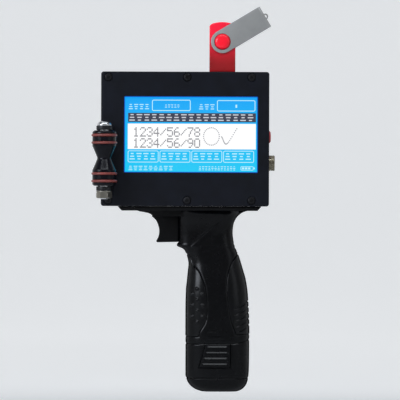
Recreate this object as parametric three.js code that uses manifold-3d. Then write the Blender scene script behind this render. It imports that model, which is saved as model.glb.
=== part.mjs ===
// Handheld date-code inkjet printer: a touch-screen head on a pistol grip, with a guide roller
// beside the nozzle, a plug-in memory stick and a slide-out battery.
// Millimetres, +Z up. The screen faces -Y and the nozzle fires towards -X.
// The origin is on the battery's flat base, under the middle of the grip and on the plane where
// the two handle shells meet.
import * as THREE from 'three';
import { mergeVertices } from 'three/addons/utils/BufferGeometryUtils.js';
import Module from 'manifold-3d';

const wasm = await Module();
wasm.setup();

// ---------------------------------------------------------------- driving dimensions

const HEAD = { x0: -83.5, x1: 36.5, y: 31, z0: 133, z1: 229, wall: 2.5, corner: 2.5 };
const PANEL = 3; // thickness of the front panel
const SCREEN = { x: -19.3, z: 184.2, width: 95.4, height: 54.4 }; // the visible 4.3 inch display
const GAP = 0.3; // running gap between neighbouring pieces
const TOUCH = 0.1; // gap between pieces that bear on each other

const BAY = { x1: -4, z0: 144, z1: 218 }; // cartridge opening in the rear wall
const SNOUT = { z0: 150.5, z1: 178.5, y0: 2 }; // notch in the left wall for the cartridge's snout
const DOOR_AXIS = { x: -2, y: 32.4 };
const DOOR_THICKNESS = 2.7;

const ROLLER = { x: -80.8, y: -41.8, z: 167, half: 19.7, radius: 8.5, waist: 5 };
const RING = { tube: 1, radius: 8.4, heights: [-16.3, -11, 11, 16.3] };
const ROLLER_SIDES = 16; // the roller and its rings share one faceting
const BOLT = 2.95; // radius of the roller's bolt
const ARM = 3; // thickness of the bracket's arms
const ARM_GAP = 0.4; // from the roller's end to an arm

const STICK = { x: 3, y: -13, z: 250.9, width: 18.6, thick: 8.4, top: 14.2 }; // at the cover's pivot
const COVER = { length: 35.7, half: 8.2, plate: 0.8, angle: 31 };

const SIDE_PORTS = { y: -2, button: 183, connector: 164.2 };

const FLANGE = 3; // thickness of the handle's top flange
const SHELL_WALL = 2;
const TRIGGER = { front: -28.7, z0: 107, z1: 126.2, half: 7.5 };
const SPLIT_Z = 34.6; // where the handle shells end and the battery's base begins
const CAP_Z = 9.7; // seam between the battery's base and its bottom cap
const CELL = { radius: 9, length: 65, z: 6.7 };
const STEM_TOP = CELL.z + CELL.length + 2; // top of the battery inside the handle
const CELL_PLACES = [[-9.2, -7.9], [8.9, -7.9], [-0.15, 7.8]];

// Sections of the grip, from the top down: height, front edge, rear edge, half thickness.
const GRIP = [
  [130.2, -28.7, 23.5, 24],
  [127.4, -28.7, 16.2, 19.4],
  [123.9, -28.7, 13.1, 17.2],
  [119.6, -28.7, 11.4, 16.2],
  [112.6, -28.7, 10.9, 15.8],
  [105.6, -28.7, 12.1, 15.9],
  [105.5, -29.2, 12.2, 15.9],
  [103, -24.8, 13.1, 16.1],
  [99, -22.3, 14.8, 16.5],
  [92, -20.6, 17, 17.7],
  [85, -21.2, 19.2, 19.2],
  [77, -22.2, 20.9, 20.5],
  [68, -22.7, 22, 21.2],
  [56, -22.8, 22.7, 21.4],
  [44, -22.8, 23, 21.4],
  [26, -22.8, 23.1, 21.3],
  [11.5, -22.8, 22.7, 21],
  [5.4, -20.5, 21.3, 19.6],
  [2.2, -16.9, 18.9, 17.1],
  [0.6, -13.4, 16.4, 14.5],
  [0, -11.2, 14.6, 12.7],
];
const AROUND = 20; // points around one section
const CORNER_TOP = 3.6; // superellipse exponents: boxy at the neck, rounder at the grip
const CORNER_GRIP = 3;
const CORNER_INSIDE = 4;

// ---------------------------------------------------------------- materials

const finish = (color, roughness, metalness = 0) =>
  new THREE.MeshStandardMaterial({ color, roughness, metalness });
const MATERIALS = {
  headPaint: finish(0x15171d, 0.55),
  handlePlastic: finish(0x0d0e10, 0.42),
  rubber: finish(0x0b0b0c, 0.75),
  glass: finish(0x0a9df2, 0.12),
  display: finish(0x1b1d22, 0.4),
  board: finish(0x14532d, 0.5),
  steel: finish(0xb9bbbd, 0.25, 1),
  nickel: finish(0xa8a08c, 0.32, 1),
  blackScrew: finish(0x101114, 0.35, 0.8),
  anodised: finish(0x17181d, 0.3, 0.6),
  ring: finish(0xa23a2c, 0.5),
  red: finish(0xd10d2c, 0.35),
  buttonRed: finish(0xa91e28, 0.4),
  cover: finish(0x7c7e80, 0.35, 0.9),
  cartridge: finish(0x22262c, 0.5),
  gold: finish(0xc9a24a, 0.3, 1),
  cell: finish(0x2b6fb5, 0.4),
};

// ---------------------------------------------------------------- solids and booleans

// A closed three.js geometry as a manifold solid.
function solid(geometry) {
  const bare = geometry.index ? geometry.toNonIndexed() : geometry.clone();
  bare.deleteAttribute('normal');
  bare.deleteAttribute('uv');
  const merged = mergeVertices(bare, 1e-4);
  return new wasm.Manifold(new wasm.Mesh({
    numProp: 3,
    vertProperties: new Float32Array(merged.attributes.position.array),
    triVerts: new Uint32Array(merged.index.array),
  }));
}

function geometryOf(shape) {
  const mesh = shape.getMesh();
  const positions = new Float32Array(mesh.numVert * 3);
  for (let i = 0; i < mesh.numVert; i++) {
    positions.set(mesh.vertProperties.subarray(i * mesh.numProp, i * mesh.numProp + 3), i * 3);
  }
  const geometry = new THREE.BufferGeometry();
  geometry.setAttribute('position', new THREE.BufferAttribute(positions, 3));
  geometry.setIndex(new THREE.BufferAttribute(mesh.triVerts, 1));
  const flat = geometry.toNonIndexed();
  flat.computeVertexNormals();
  return flat;
}

const join = (...shapes) => shapes.reduce((whole, shape) => whole.add(shape));
const cut = (shape, ...tools) => tools.reduce((left, tool) => left.subtract(tool), shape);

function block([x0, x1], [y0, y1], [z0, z1]) {
  const box = new THREE.BoxGeometry(x1 - x0, y1 - y0, z1 - z0);
  box.translate((x0 + x1) / 2, (y0 + y1) / 2, (z0 + z1) / 2);
  return solid(box);
}

// A rod along an axis, from one end to the other, centred on the other two coordinates in order.
function rod(axis, radius, from, to, [a, b] = [0, 0], sides = 16, farRadius = radius) {
  const cylinder = new THREE.CylinderGeometry(farRadius, radius, to - from, sides);
  cylinder.translate(0, (from + to) / 2, 0);
  if (axis === 'x') cylinder.rotateZ(-Math.PI / 2).translate(0, a, b);
  if (axis === 'y') cylinder.translate(a, 0, b);
  if (axis === 'z') cylinder.rotateX(Math.PI / 2).translate(a, b, 0);
  return solid(cylinder);
}

// A solid of revolution about Z from [radius, height] pairs that close on themselves or the axis.
function turned(profile, sides = 32) {
  const points = profile.map(([r, h]) => new THREE.Vector2(r, h));
  return solid(new THREE.LatheGeometry(points, sides).rotateX(Math.PI / 2));
}

// A torus-like ring about Z.
function ring(inner, outer, from, to, sides = 16) {
  return turned([[inner, from], [outer, from], [outer, to], [inner, to], [inner, from]], sides);
}

const extrude = (shape, depth, curveSegments = 8) =>
  new THREE.ExtrudeGeometry(shape, { depth, bevelEnabled: false, curveSegments });

// A shape drawn in X and Z, given its thickness along Y.
function slabY(shape, y0, y1, curveSegments) {
  const slab = extrude(shape, y1 - y0, curveSegments);
  return solid(slab.rotateX(Math.PI / 2).translate(0, y1, 0));
}

// A shape drawn in X and Y, given its thickness along Z.
function slabZ(shape, z0, z1, curveSegments) {
  return solid(extrude(shape, z1 - z0, curveSegments).translate(0, 0, z0));
}

function outline(points) {
  return new THREE.Shape(points.map(([u, v]) => new THREE.Vector2(u, v)));
}

function roundedRectangle(u0, u1, v0, v1, r) {
  const shape = new THREE.Shape();
  shape.moveTo(u0 + r, v0).lineTo(u1 - r, v0);
  shape.absarc(u1 - r, v0 + r, r, -Math.PI / 2, 0);
  shape.absarc(u1 - r, v1 - r, r, 0, Math.PI / 2);
  shape.absarc(u0 + r, v1 - r, r, Math.PI / 2, Math.PI);
  shape.absarc(u0 + r, v0 + r, r, Math.PI, 1.5 * Math.PI);
  return shape;
}

// A coil spring along Z between two heights.
function coil(radius, wire, from, to, turns) {
  const steps = turns * 8;
  const points = Array.from({ length: steps + 1 }, (_, i) => {
    const angle = (i / steps) * turns * 2 * Math.PI;
    const height = from + wire + (i / steps) * (to - from - 2 * wire);
    return new THREE.Vector3(radius * Math.cos(angle), radius * Math.sin(angle), height);
  });
  const section = new THREE.Shape().absarc(0, 0, wire, 0, 2 * Math.PI);
  const path = new THREE.CatmullRomCurve3(points);
  return new THREE.ExtrudeGeometry(section, {
    steps, extrudePath: path, curveSegments: 3, bevelEnabled: false,
  });
}

// ---------------------------------------------------------------- the scene graph

const printer = new THREE.Group();

function group(parent = printer, [x, y, z] = [0, 0, 0]) {
  const made = new THREE.Group();
  made.position.set(x, y, z);
  parent.add(made);
  return made;
}

function part(parent, name, shape, material) {
  const geometry = shape.isBufferGeometry ? shape : geometryOf(shape);
  const mesh = new THREE.Mesh(geometry, material);
  mesh.name = name;
  parent.add(mesh);
  return mesh;
}

// A screw along +Z with its head's top at 0.
function screw(head, headHeight, shank, length) {
  return turned([
    [0, -headHeight - length], [shank, -headHeight - length], [shank, -headHeight],
    [head, -headHeight], [head, 0], [0, 0],
  ], 8);
}

// ---------------------------------------------------------------- head housing and front panel

const PANEL_SCREWS = [-78.3, -22, 24].flatMap((x) => [[x, 225], [x, 137]]);
const FLANGE_SCREWS = [-63, 24.5].flatMap((x) => [[x, -10], [x, 10]]);
const CABLE_HOLE = { x: -9, radius: 7 };
const SCREW = { head: 2.7, headHeight: 1.7, shank: 1.35, hole: 1.6 };

function headOutline(inset = 0) {
  return roundedRectangle(
    HEAD.x0 + inset, HEAD.x1 - inset, HEAD.z0 + inset, HEAD.z1 - inset, HEAD.corner - inset / 3,
  );
}

function housing() {
  const front = -HEAD.y + PANEL + TOUCH;
  const box = slabY(headOutline(), front, HEAD.y, 2);
  const inside = slabY(headOutline(HEAD.wall), front - 1, HEAD.y - HEAD.wall, 1);
  const bosses = PANEL_SCREWS.map(([x, z]) => cut(
    rod('y', 3.6, front, -12, [x, z], 10),
    rod('y', SCREW.hole, front - 1, -14, [x, z], 8),
  ));
  const knuckles = [[BAY.z0 + 1, BAY.z0 + 15], [BAY.z1 - 15, BAY.z1 - 1]].map(([z0, z1]) => cut(
    join(
      rod('z', 2.4, z0, z1, [DOOR_AXIS.x, DOOR_AXIS.y], 16),
      block([DOOR_AXIS.x, DOOR_AXIS.x + 3.4], [HEAD.y - 1, DOOR_AXIS.y + 1], [z0, z1]),
    ),
    rod('z', 1.35, z0 - 1, z1 + 1, [DOOR_AXIS.x, DOOR_AXIS.y], 12),
  ));
  const openings = [
    block([STICK.x - 6.7, STICK.x + 6.7], [STICK.y - 3, STICK.y + 3], [220, HEAD.z1 + 1]),
    rod('x', 4.8, HEAD.x1 - 5, HEAD.x1 + 1, [SIDE_PORTS.y, SIDE_PORTS.button], 20),
    rod('x', 6, HEAD.x1 - 5, HEAD.x1 + 1, [SIDE_PORTS.y, SIDE_PORTS.connector], 20),
    block([HEAD.x0 - 1, HEAD.x0 + 5], [SNOUT.y0, HEAD.y + 1], [SNOUT.z0, SNOUT.z1]),
    block([HEAD.x0 - 1, BAY.x1], [HEAD.y - HEAD.wall - 0.5, HEAD.y + 1], [BAY.z0, BAY.z1]),
    rod('z', CABLE_HOLE.radius, HEAD.z0 - 1, HEAD.z0 + 5, [CABLE_HOLE.x, 0], 14),
    ...FLANGE_SCREWS.map(([x, y]) => rod('z', SCREW.hole, HEAD.z0 - 1, HEAD.z0 + 5, [x, y], 8)),
    ...BRACKET_SCREWS.map((z) => rod('x', SCREW.hole, HEAD.x0 - 1, HEAD.x0 + 5, [BRACKET_SCREW_Y, z], 8)),
  ];
  const hingeRecess = rod('z', 2.7, BAY.z0 + 15.05, BAY.z1 - 15.05, [DOOR_AXIS.x, DOOR_AXIS.y], 20);
  // A finger notch beside the door lets a nail lift its free edge.
  const notch = rod('z', 7, 176, 186, [HEAD.x0 - 5.2, HEAD.y + 1.6], 24);
  return cut(join(cut(box, inside), ...bosses, ...knuckles), ...openings, hingeRecess, notch);
}

function frontPanel() {
  const back = -HEAD.y + PANEL;
  const { x, z, width, height } = SCREEN;
  const plate = slabY(headOutline(), -HEAD.y, back, 2);
  const window = slabY(
    roundedRectangle(x - width / 2, x + width / 2, z - height / 2, z + height / 2, 0.8),
    -HEAD.y - 1, back + 1, 1,
  );
  const holes = PANEL_SCREWS.flatMap(([sx, sz]) => [
    rod('y', SCREW.head + 0.3, -HEAD.y - 1, -HEAD.y + SCREW.headHeight + 0.2, [sx, sz], 14),
    rod('y', SCREW.hole, -HEAD.y, back + 1, [sx, sz], 8),
  ]);
  return cut(plate, window, ...holes);
}

// ---------------------------------------------------------------- guide roller and its bracket

const BRACKET_SCREW_Y = -19;
const BRACKET_SCREWS = [155, 179];

// Everything on the roller's bolt is drawn about the roller's own centre.
function rollerBody() {
  const { half, radius, waist } = ROLLER;
  const drum = 8.1; // height of each cone, from the waist to the drum
  const groove = (h) => [[radius, h - 1.1], [radius - 1, h - 0.9], [radius - 1, h + 0.9], [radius, h + 1.1]];
  const upper = [
    [waist, 0.6], [radius - 0.4, drum - 0.5], [radius, drum + 0.4],
    ...groove(RING.heights[2]), ...groove(RING.heights[3]),
    [radius, half - 1], [radius - 1.2, half],
  ];
  const lower = upper.map(([r, h]) => [r, -h]).reverse();
  const profile = [[0, -half], ...lower, ...upper, [0, half]];
  return cut(
    turned(profile, ROLLER_SIDES),
    rod('z', 3.5, -half - 1, half + 1),
    rod('z', 6.1, -half - 1, -half + 4.2),
    rod('z', 6.1, half - 4.2, half + 1),
  );
}

// The groove's floor flattens the ring's inside.
function oRing() {
  const { tube, radius } = RING;
  const inside = ROLLER.radius - 1 + TOUCH;
  const rim = [-90, -30, 30, 90].map((degrees) => {
    const angle = THREE.MathUtils.degToRad(degrees);
    return [radius + tube * Math.cos(angle), tube * Math.sin(angle)];
  });
  return turned([[inside, -0.6], ...rim, [inside, 0.6], [inside, -0.6]], ROLLER_SIDES);
}

function bracket() {
  const arm = ROLLER.half + ARM_GAP;
  const side = HEAD.x0 - TOUCH - ROLLER.x; // the head's left face, seen from the roller's axis
  const front = -HEAD.y - ROLLER.y; // the front panel's plane
  const end = 5.7;
  const planform = new THREE.Shape();
  planform.moveTo(end, front - GAP).lineTo(end, 0);
  planform.absarc(0, 0, end, 0, Math.PI, true);
  planform.lineTo(-end, front + 14).lineTo(side, front + 14).lineTo(side, front - GAP);
  const web = block([-4.8, side], [front - GAP, front + 20], [-arm - ARM, arm + ARM]);
  const arms = [arm, -arm - ARM].map((z) => slabZ(planform, z, z + ARM, 5));
  const holes = [
    rod('z', BOLT + 0.15, -arm - ARM - 1, arm + ARM + 1, [0, 0], 20),
    ...BRACKET_SCREWS.map((z) => (
      rod('x', SCREW.hole, -12, 5, [BRACKET_SCREW_Y - ROLLER.y, z - ROLLER.z], 10))),
  ];
  return cut(join(web, ...arms), ...holes);
}

function addRoller() {
  const unit = group(printer, [ROLLER.x, ROLLER.y, ROLLER.z]);
  const { half } = ROLLER;
  const outer = half + ARM_GAP + ARM;
  part(unit, 'roller_bracket', bracket(), MATERIALS.headPaint);
  part(unit, 'guide_roller', rollerBody(), MATERIALS.anodised);
  RING.heights.forEach((height, i) => {
    part(unit, `roller_o_ring_${i + 1}`, oRing(), MATERIALS.ring).position.z = height;
  });
  [['lower', -half], ['upper', half - 4]].forEach(([place, z]) => {
    part(unit, `roller_bearing_${place}`, ring(3.1, 6, z, z + 4), MATERIALS.steel);
  });
  const head = [
    [0, outer + 3.4], [1.8, outer + 3.3], [3.6, outer + 2.6], [4.8, outer + 1.4], [5.2, outer + 0.2],
  ];
  const nutEnd = -outer - 6;
  const bolt = join(
    turned([[0, outer + TOUCH], [5.2, outer + TOUCH], ...head.slice().reverse()], 24),
    rod('z', BOLT, nutEnd, outer + 1),
  );
  part(unit, 'roller_bolt', cut(bolt, rod('z', 2, outer + 1.6, outer + 5, [0, 0], 6)), MATERIALS.steel);
  // A flanged nut: a washer and a hexagon in one piece.
  const nut = cut(
    join(
      rod('z', 5.7, -outer - 1, -outer - TOUCH, [0, 0], 24),
      rod('z', 5.6, -outer - 5.4, -outer - 0.9, [0, 0], 6),
    ),
    rod('z', BOLT + TOUCH, -outer - 9, -outer),
  );
  part(unit, 'roller_nut', nut, MATERIALS.nickel);
  BRACKET_SCREWS.forEach((z, i) => {
    const fastener = part(unit, `bracket_screw_${i + 1}`,
      screw(2.6, 1.5, SCREW.shank, 6), MATERIALS.blackScrew);
    fastener.position.set(-4.8 - 1.5 - TOUCH, BRACKET_SCREW_Y - ROLLER.y, z - ROLLER.z);
    fastener.rotation.y = -Math.PI / 2;
  });
}

// ---------------------------------------------------------------- memory stick

// The stick is drawn about the pivot of its swivelling cover.
function addStick() {
  const stick = group(printer, [STICK.x, STICK.y, STICK.z]);
  const bottom = HEAD.z1 + GAP - STICK.z;
  const half = STICK.width / 2;
  const thick = STICK.thick / 2;
  const outlineShape = new THREE.Shape();
  outlineShape.moveTo(-half, bottom).lineTo(half, bottom).lineTo(half, STICK.top - 3);
  outlineShape.quadraticCurveTo(half, STICK.top - 1.8, half - 1, STICK.top - 1.6);
  outlineShape.quadraticCurveTo(0, STICK.top + 1.6, -half + 1, STICK.top - 1.6);
  outlineShape.quadraticCurveTo(-half, STICK.top - 1.8, -half, STICK.top - 3);
  const body = cut(
    slabY(outlineShape, -thick, thick, 6),
    rod('y', 3, -thick - 1, thick + 1, [0, 0], 24),
    block([-6.2, 6.2], [-2.4, 2.4], [bottom - 1, bottom + 3]),
  );
  part(stick, 'usb_drive_body', body, MATERIALS.red);
  const plug = cut(
    block([-6, 6], [-2.2, 2.2], [bottom - 12, bottom + 2.8]),
    block([-5.6, 5.6], [-1.8, 0.2], [bottom - 13, bottom - 0.5]),
  );
  part(stick, 'usb_drive_plug', plug, MATERIALS.steel);
  const dome = (sign) => rod('y', sign < 0 ? 4 : 5.5,
    Math.min(sign * 7, sign * 4.3), Math.max(sign * 7, sign * 4.3), [0, 0], 20, sign < 0 ? 5.5 : 4);
  part(stick, 'usb_pivot_rivet', join(rod('y', 2.8, -5, 5, [0, 0], 20), dome(-1), dome(1)), MATERIALS.red);

  const plateInner = thick + GAP;
  const plateOuter = plateInner + COVER.plate;
  const blade = new THREE.Shape();
  blade.moveTo(0, -COVER.half).lineTo(COVER.length, -COVER.half).lineTo(COVER.length, COVER.half);
  blade.lineTo(0, COVER.half);
  blade.absarc(0, 0, COVER.half, Math.PI / 2, 1.5 * Math.PI);
  const loop = cut(
    rod('y', 3, -1, 1, [COVER.length, 0], 20),
    rod('y', 1.7, -2, 2, [COVER.length + 0.6, 0], 16),
  );
  const cover = join(
    cut(
      slabY(blade, -plateOuter, plateOuter, 6),
      slabY(blade, -plateInner, plateInner, 6).translate([-COVER.plate, 0, 0]),
      rod('y', 5.9, -9, 9, [0, 0], 18),
      block([-9, 20], [-plateInner, plateInner], [-9, 9]),
    ),
    loop,
  );
  const sleeve = part(stick, 'usb_swivel_cover', cover, MATERIALS.cover);
  sleeve.rotation.y = THREE.MathUtils.degToRad(-COVER.angle);
}

// ---------------------------------------------------------------- what the head holds

function addDisplay() {
  const inner = -HEAD.y + PANEL;
  const { x, z } = SCREEN;
  const head = group();
  part(head, 'head_housing', housing(), MATERIALS.headPaint);
  part(head, 'front_panel', frontPanel(), MATERIALS.headPaint);
  PANEL_SCREWS.forEach(([sx, sz], i) => {
    const fastener = part(head, `panel_screw_${i + 1}`,
      screw(SCREW.head, SCREW.headHeight, SCREW.shank, 12), MATERIALS.blackScrew);
    fastener.position.set(sx, -HEAD.y + 0.1, sz);
    fastener.rotation.x = Math.PI / 2;
  });
  const glass = { y0: inner + TOUCH, y1: inner + 1.9 };
  part(head, 'touch_glass',
    block([x - 52, x + 52], [glass.y0, glass.y1], [z - 32.5, z + 32.5]), MATERIALS.glass);
  const lcd = { y0: glass.y1 + TOUCH, y1: glass.y1 + 3.2 };
  part(head, 'display_module',
    block([x - 52.7, x + 52.7], [lcd.y0, lcd.y1], [z - 33.6, z + 33.6]), MATERIALS.display);
  const board = { y0: -20, y1: -18.4 };
  const pcb = join(
    block([-72, 31], [board.y0, board.y1], [143, 220.5]),
    block([-40, -22], [board.y1 - 0.1, -16.6], [176, 194]),
    block([-12, 0], [board.y1 - 0.1, -17], [180, 190]),
    block([-66, -48], [board.y1 - 0.1, -14], [204, 210]),
    block([8, 26], [board.y1 - 0.1, -13], [146, 153]),
    ...[-30, -20].map((cx) => rod('y', 3, board.y1 - 0.1, -10, [cx, 160], 14)),
  );
  part(head, 'control_board', pcb, MATERIALS.board);
  const port = cut(
    block([STICK.x - 7.2, STICK.x + 7.2], [board.y1 + TOUCH, -8.6], [212, HEAD.z1 - HEAD.wall - TOUCH]),
    block([STICK.x - 6.3, STICK.x + 6.3], [STICK.y - 2.5, STICK.y + 2.5], [213, HEAD.z1]),
  );
  part(head, 'usb_socket', port, MATERIALS.steel);
}

function addPrintEngine() {
  const engine = group();
  const tray = { x0: -80.8, x1: -3.4, y0: -3, y1: 22, z0: 144.6, z1: 217.4, wall: 1.8 };
  const carrier = cut(
    block([tray.x0, tray.x1], [tray.y0, tray.y1], [tray.z0, tray.z1]),
    block([tray.x0 + tray.wall, tray.x1 - tray.wall], [tray.y0 + tray.wall, tray.y1 + 1],
      [tray.z0 + tray.wall, tray.z1 - tray.wall]),
    block([tray.x0 - 1, tray.x0 + 4], [SNOUT.y0 - 1, tray.y1 + 1], [SNOUT.z0, SNOUT.z1]),
  );
  part(engine, 'cartridge_carrier', carrier, MATERIALS.display);
  const snoutFace = HEAD.x0 + 0.5;
  const reservoir = join(
    block([-71, -6], [0, 26.2], [147.5, 214.5]),
    block([snoutFace, -70], [3, 24.6], [SNOUT.z0 + 0.8, SNOUT.z1 - 0.8]),
  );
  part(engine, 'ink_cartridge', reservoir, MATERIALS.cartridge);
  part(engine, 'nozzle_plate',
    block([HEAD.x0 - 0.1, snoutFace - TOUCH], [7, 20.6], [156, 173]), MATERIALS.gold);
  part(engine, 'contact_block',
    block([-76, -71.6], [-1, 2.6], [153.5, 175.5]), MATERIALS.gold);
}

function addDoor() {
  const { x, y } = DOOR_AXIS;
  const door = group(printer, [x, y, 0]);
  const outside = HEAD.y - y; // the head's rear face, seen from the hinge
  const z = [BAY.z0 + 0.4, BAY.z1 - 0.4];
  const plate = block([HEAD.x0 + 0.2 - x, BAY.x1 - 0.4 - x], [outside - DOOR_THICKNESS, outside], z);
  const barrel = [BAY.z0 + 15.4, BAY.z1 - 15.4];
  const knuckle = join(
    rod('z', 2.4, ...barrel),
    slabZ(outline([
      [-6, outside - 0.5], [-2.4, outside - 0.5], [-1.6, outside + 0.2], [0, 1], [-6, 1],
    ]), ...barrel),
  );
  const leaf = cut(join(plate, knuckle), rod('z', 1.35, 0, 300, [0, 0], 12),
    rod('z', 7, 176, 186, [HEAD.x0 - 5.2 - x, HEAD.y + 1.6 - y], 24));
  part(door, 'cartridge_door', leaf, MATERIALS.headPaint);
  part(door, 'door_hinge_pin', rod('z', 1.2, BAY.z0 + 1.2, BAY.z1 - 1.2, [0, 0], 12), MATERIALS.steel);
}

function addSidePorts() {
  const { y, button, connector } = SIDE_PORTS;
  const face = HEAD.x1;
  const power = group(printer, [face, y, button]);
  const cap = turned([[0, 1.7], [2.4, 1.6], [3.7, 1.2], [4.4, 0.4], [4.4, -6], [0, -6]].reverse(), 24);
  part(power, 'power_button', cap, MATERIALS.buttonRed).rotation.y = Math.PI / 2;
  part(power, 'power_switch', cut(
    block([-22, -5], [-7, 7], [-7, 7]),
    rod('x', 4.6, -9, 0, [0, 0], 24),
  ), MATERIALS.display);
  const socket = group(printer, [face, y, connector]);
  const barrel = cut(
    join(rod('x', 5.7, -13, 4.4, [0, 0], 20), rod('x', 7.6, -4.2, -HEAD.wall - TOUCH, [0, 0], 6)),
    rod('x', 4.5, -1.5, 6, [0, 0], 20),
    rod('x', 4.5, -14, -3),
  );
  part(socket, 'sensor_connector', barrel, MATERIALS.nickel);
  const pins = [45, 135, 225, 315].map((degrees) => {
    const angle = THREE.MathUtils.degToRad(degrees);
    return rod('x', 0.55, -1, 2.6, [2.2 * Math.cos(angle), 2.2 * Math.sin(angle)], 8);
  });
  part(socket, 'connector_insert',
    join(rod('x', 4.3, -1.4, -0.4, [0, 0], 20), ...pins), MATERIALS.gold);
}

// ---------------------------------------------------------------- handle

// Position round a superellipse of the given exponent, as two shares of its half axes.
function superellipse(share, exponent) {
  const angle = share * 2 * Math.PI;
  const wrap = (v) => Math.sign(v) * Math.abs(v) ** (2 / exponent);
  return [wrap(Math.cos(angle)), wrap(Math.sin(angle))];
}

// The grip between two heights, every side set in by a wall. Its edges run straight between the
// heights in GRIP; a rough one, for a hollow, uses every second height.
function gripSolid(z0, z1, inset = 0, corner = null, rough = false) {
  const inner = GRIP.map(([z]) => z)
    .filter((z, i) => z < z1 - 0.05 && z > z0 + 0.05 && !(rough && i % 2));
  const heights = [z1, ...inner, z0];
  const positions = [];
  heights.forEach((z) => {
    const below = Math.min(Math.max(GRIP.findIndex(([h]) => h <= z), 1), GRIP.length - 1);
    const [hi, lo] = [GRIP[below - 1], GRIP[below]];
    const share = (hi[0] - z) / (hi[0] - lo[0]);
    const [front, rear, half] = [1, 2, 3].map((k) => hi[k] + share * (lo[k] - hi[k]));
    const exponent = corner ?? THREE.MathUtils.lerp(
      CORNER_GRIP, CORNER_TOP, THREE.MathUtils.smoothstep(z, 88, 106));
    for (let i = 0; i < AROUND; i++) {
      const [u, v] = superellipse(i / AROUND, exponent);
      positions.push((front + rear) / 2 + u * ((rear - front) / 2 - inset), v * (half - inset), z);
    }
  });
  const triangles = [];
  for (let level = 0; level < heights.length - 1; level++) {
    for (let i = 0; i < AROUND; i++) {
      const a = level * AROUND + i;
      const b = level * AROUND + ((i + 1) % AROUND);
      triangles.push(a, a + AROUND, b, b, a + AROUND, b + AROUND);
    }
  }
  const last = (heights.length - 1) * AROUND;
  for (let i = 1; i < AROUND - 1; i++) {
    triangles.push(0, i, i + 1, last, last + i + 1, last + i);
  }
  const geometry = new THREE.BufferGeometry();
  geometry.setAttribute('position', new THREE.Float32BufferAttribute(positions, 3));
  geometry.setIndex(triangles);
  return solid(geometry);
}

const HANDLE_TOP = HEAD.z0 - FLANGE + 0.2;
const DEEP = 40; // reaches past the handle on both sides
// Everything below this polygon is the battery's base, and its upper edge rises to the rear.
const batteryZone = (lift) => slabY(outline([
  [-40, -5], [40, -5], [40, 41.6 + lift], [24, 37.6 + lift], [12, SPLIT_Z + lift], [-40, SPLIT_Z + lift],
]), -DEEP, DEEP);

// The region of the front pad, drawn in X and Z; it wraps round the front of the grip.
function frontPadOutline(grow = 0) {
  const shape = new THREE.Shape();
  const g = grow;
  shape.moveTo(-40, 101.5 + g).lineTo(-20, 101.5 + g).lineTo(-18.4 + g, 93.5);
  shape.quadraticCurveTo(-17.4 + g, 90, -14 + g, 87.4);
  shape.quadraticCurveTo(-9.2 + g, 82.6, -8 + g, 73);
  shape.lineTo(-7 + g, 59).quadraticCurveTo(-7 + g, 48, -12.5 + g, 43);
  shape.lineTo(-13 + g, 39.4 - g).lineTo(-40, 39.4 - g);
  return shape;
}

// The region of the rear pad.
function rearPadOutline(grow = 0) {
  const shape = new THREE.Shape();
  const g = grow;
  shape.moveTo(40, 100 + g).lineTo(14 - g, 99.4 + g).quadraticCurveTo(7.4 - g, 94, 6.4 - g, 84);
  shape.lineTo(7.4 - g, 66).quadraticCurveTo(9 - g, 50, 13.6 - g, 41 - g).lineTo(40, 44 - g);
  return shape;
}

const PAD = 0.9; // thickness of the rubber pads
const pad = (shape) => gripSolid(36, 104)
  .intersect(slabY(shape, -DEEP, DEEP, 3))
  .subtract(gripSolid(35, 105, PAD));
const pocket = (shape) => slabY(shape, -DEEP, DEEP, 3).subtract(gripSolid(35, 105, PAD + 0.2));

const HANDLE_SCREWS = [[-36, 130], [6, 121], [8, 97], [-15, 97]];

function handleShells() {
  const flangeHalf = 26;
  const top = HEAD.z0 - TOUCH;
  const flange = slabY(outline([
    [-71.6, top], [-68.6, HANDLE_TOP], [-57.5, HANDLE_TOP], [28.4, HANDLE_TOP], [31.2, top],
  ].reverse()), -flangeHalf, flangeHalf);
  const lip = new THREE.Shape();
  lip.moveTo(-20, 131).lineTo(-59, 131).quadraticCurveTo(-56, 129, -52, 128.6);
  lip.quadraticCurveTo(-49.5, 128.2, -48, 126.9).lineTo(-20, 126.9);
  const outer = join(flange, slabY(lip, -15.8, 15.8), gripSolid(SPLIT_Z - 1, HANDLE_TOP + 0.5));
  const well = gripSolid(SPLIT_Z - 2, 90, SHELL_WALL, CORNER_INSIDE, true);
  const chamber = gripSolid(88, 126.6, 2.6, CORNER_INSIDE, true);
  const { z0, half } = TRIGGER;
  const slot = block([-34, -24], [-half - GAP, half + GAP], [z0 - GAP, 126.6]);
  const keeperWell = block([-26.1, -14], [-half - 3, half + 3], [z0 - GAP, 126.6]);
  const bosses = HANDLE_SCREWS.slice(1).map(([x, z]) => rod('y', 3.4, -15, 15, [x, z], 10));
  const drill = HANDLE_SCREWS.flatMap(([x, z]) => [
    rod('y', SCREW.hole, -10, DEEP, [x, z], 8),
    rod('y', SCREW.head + 0.3, 13.6, DEEP, [x, z], 12),
  ]);
  const flangeHoles = FLANGE_SCREWS.flatMap(([x, y]) => [
    rod('z', SCREW.hole, 120, 140, [x, y], 8),
    rod('z', SCREW.head + 0.3, 122, HANDLE_TOP + 1.6, [x, y], 12),
  ]);
  const cable = rod('z', CABLE_HOLE.radius, 120, 140, [CABLE_HOLE.x, 0], 14);
  const hollow = cut(join(well, chamber), ...bosses);
  return cut(
    outer, hollow, slot, keeperWell, cable, batteryZone(0),
    pocket(frontPadOutline(GAP)), pocket(rearPadOutline(GAP)),
    ...drill, ...flangeHoles,
  );
}

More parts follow.
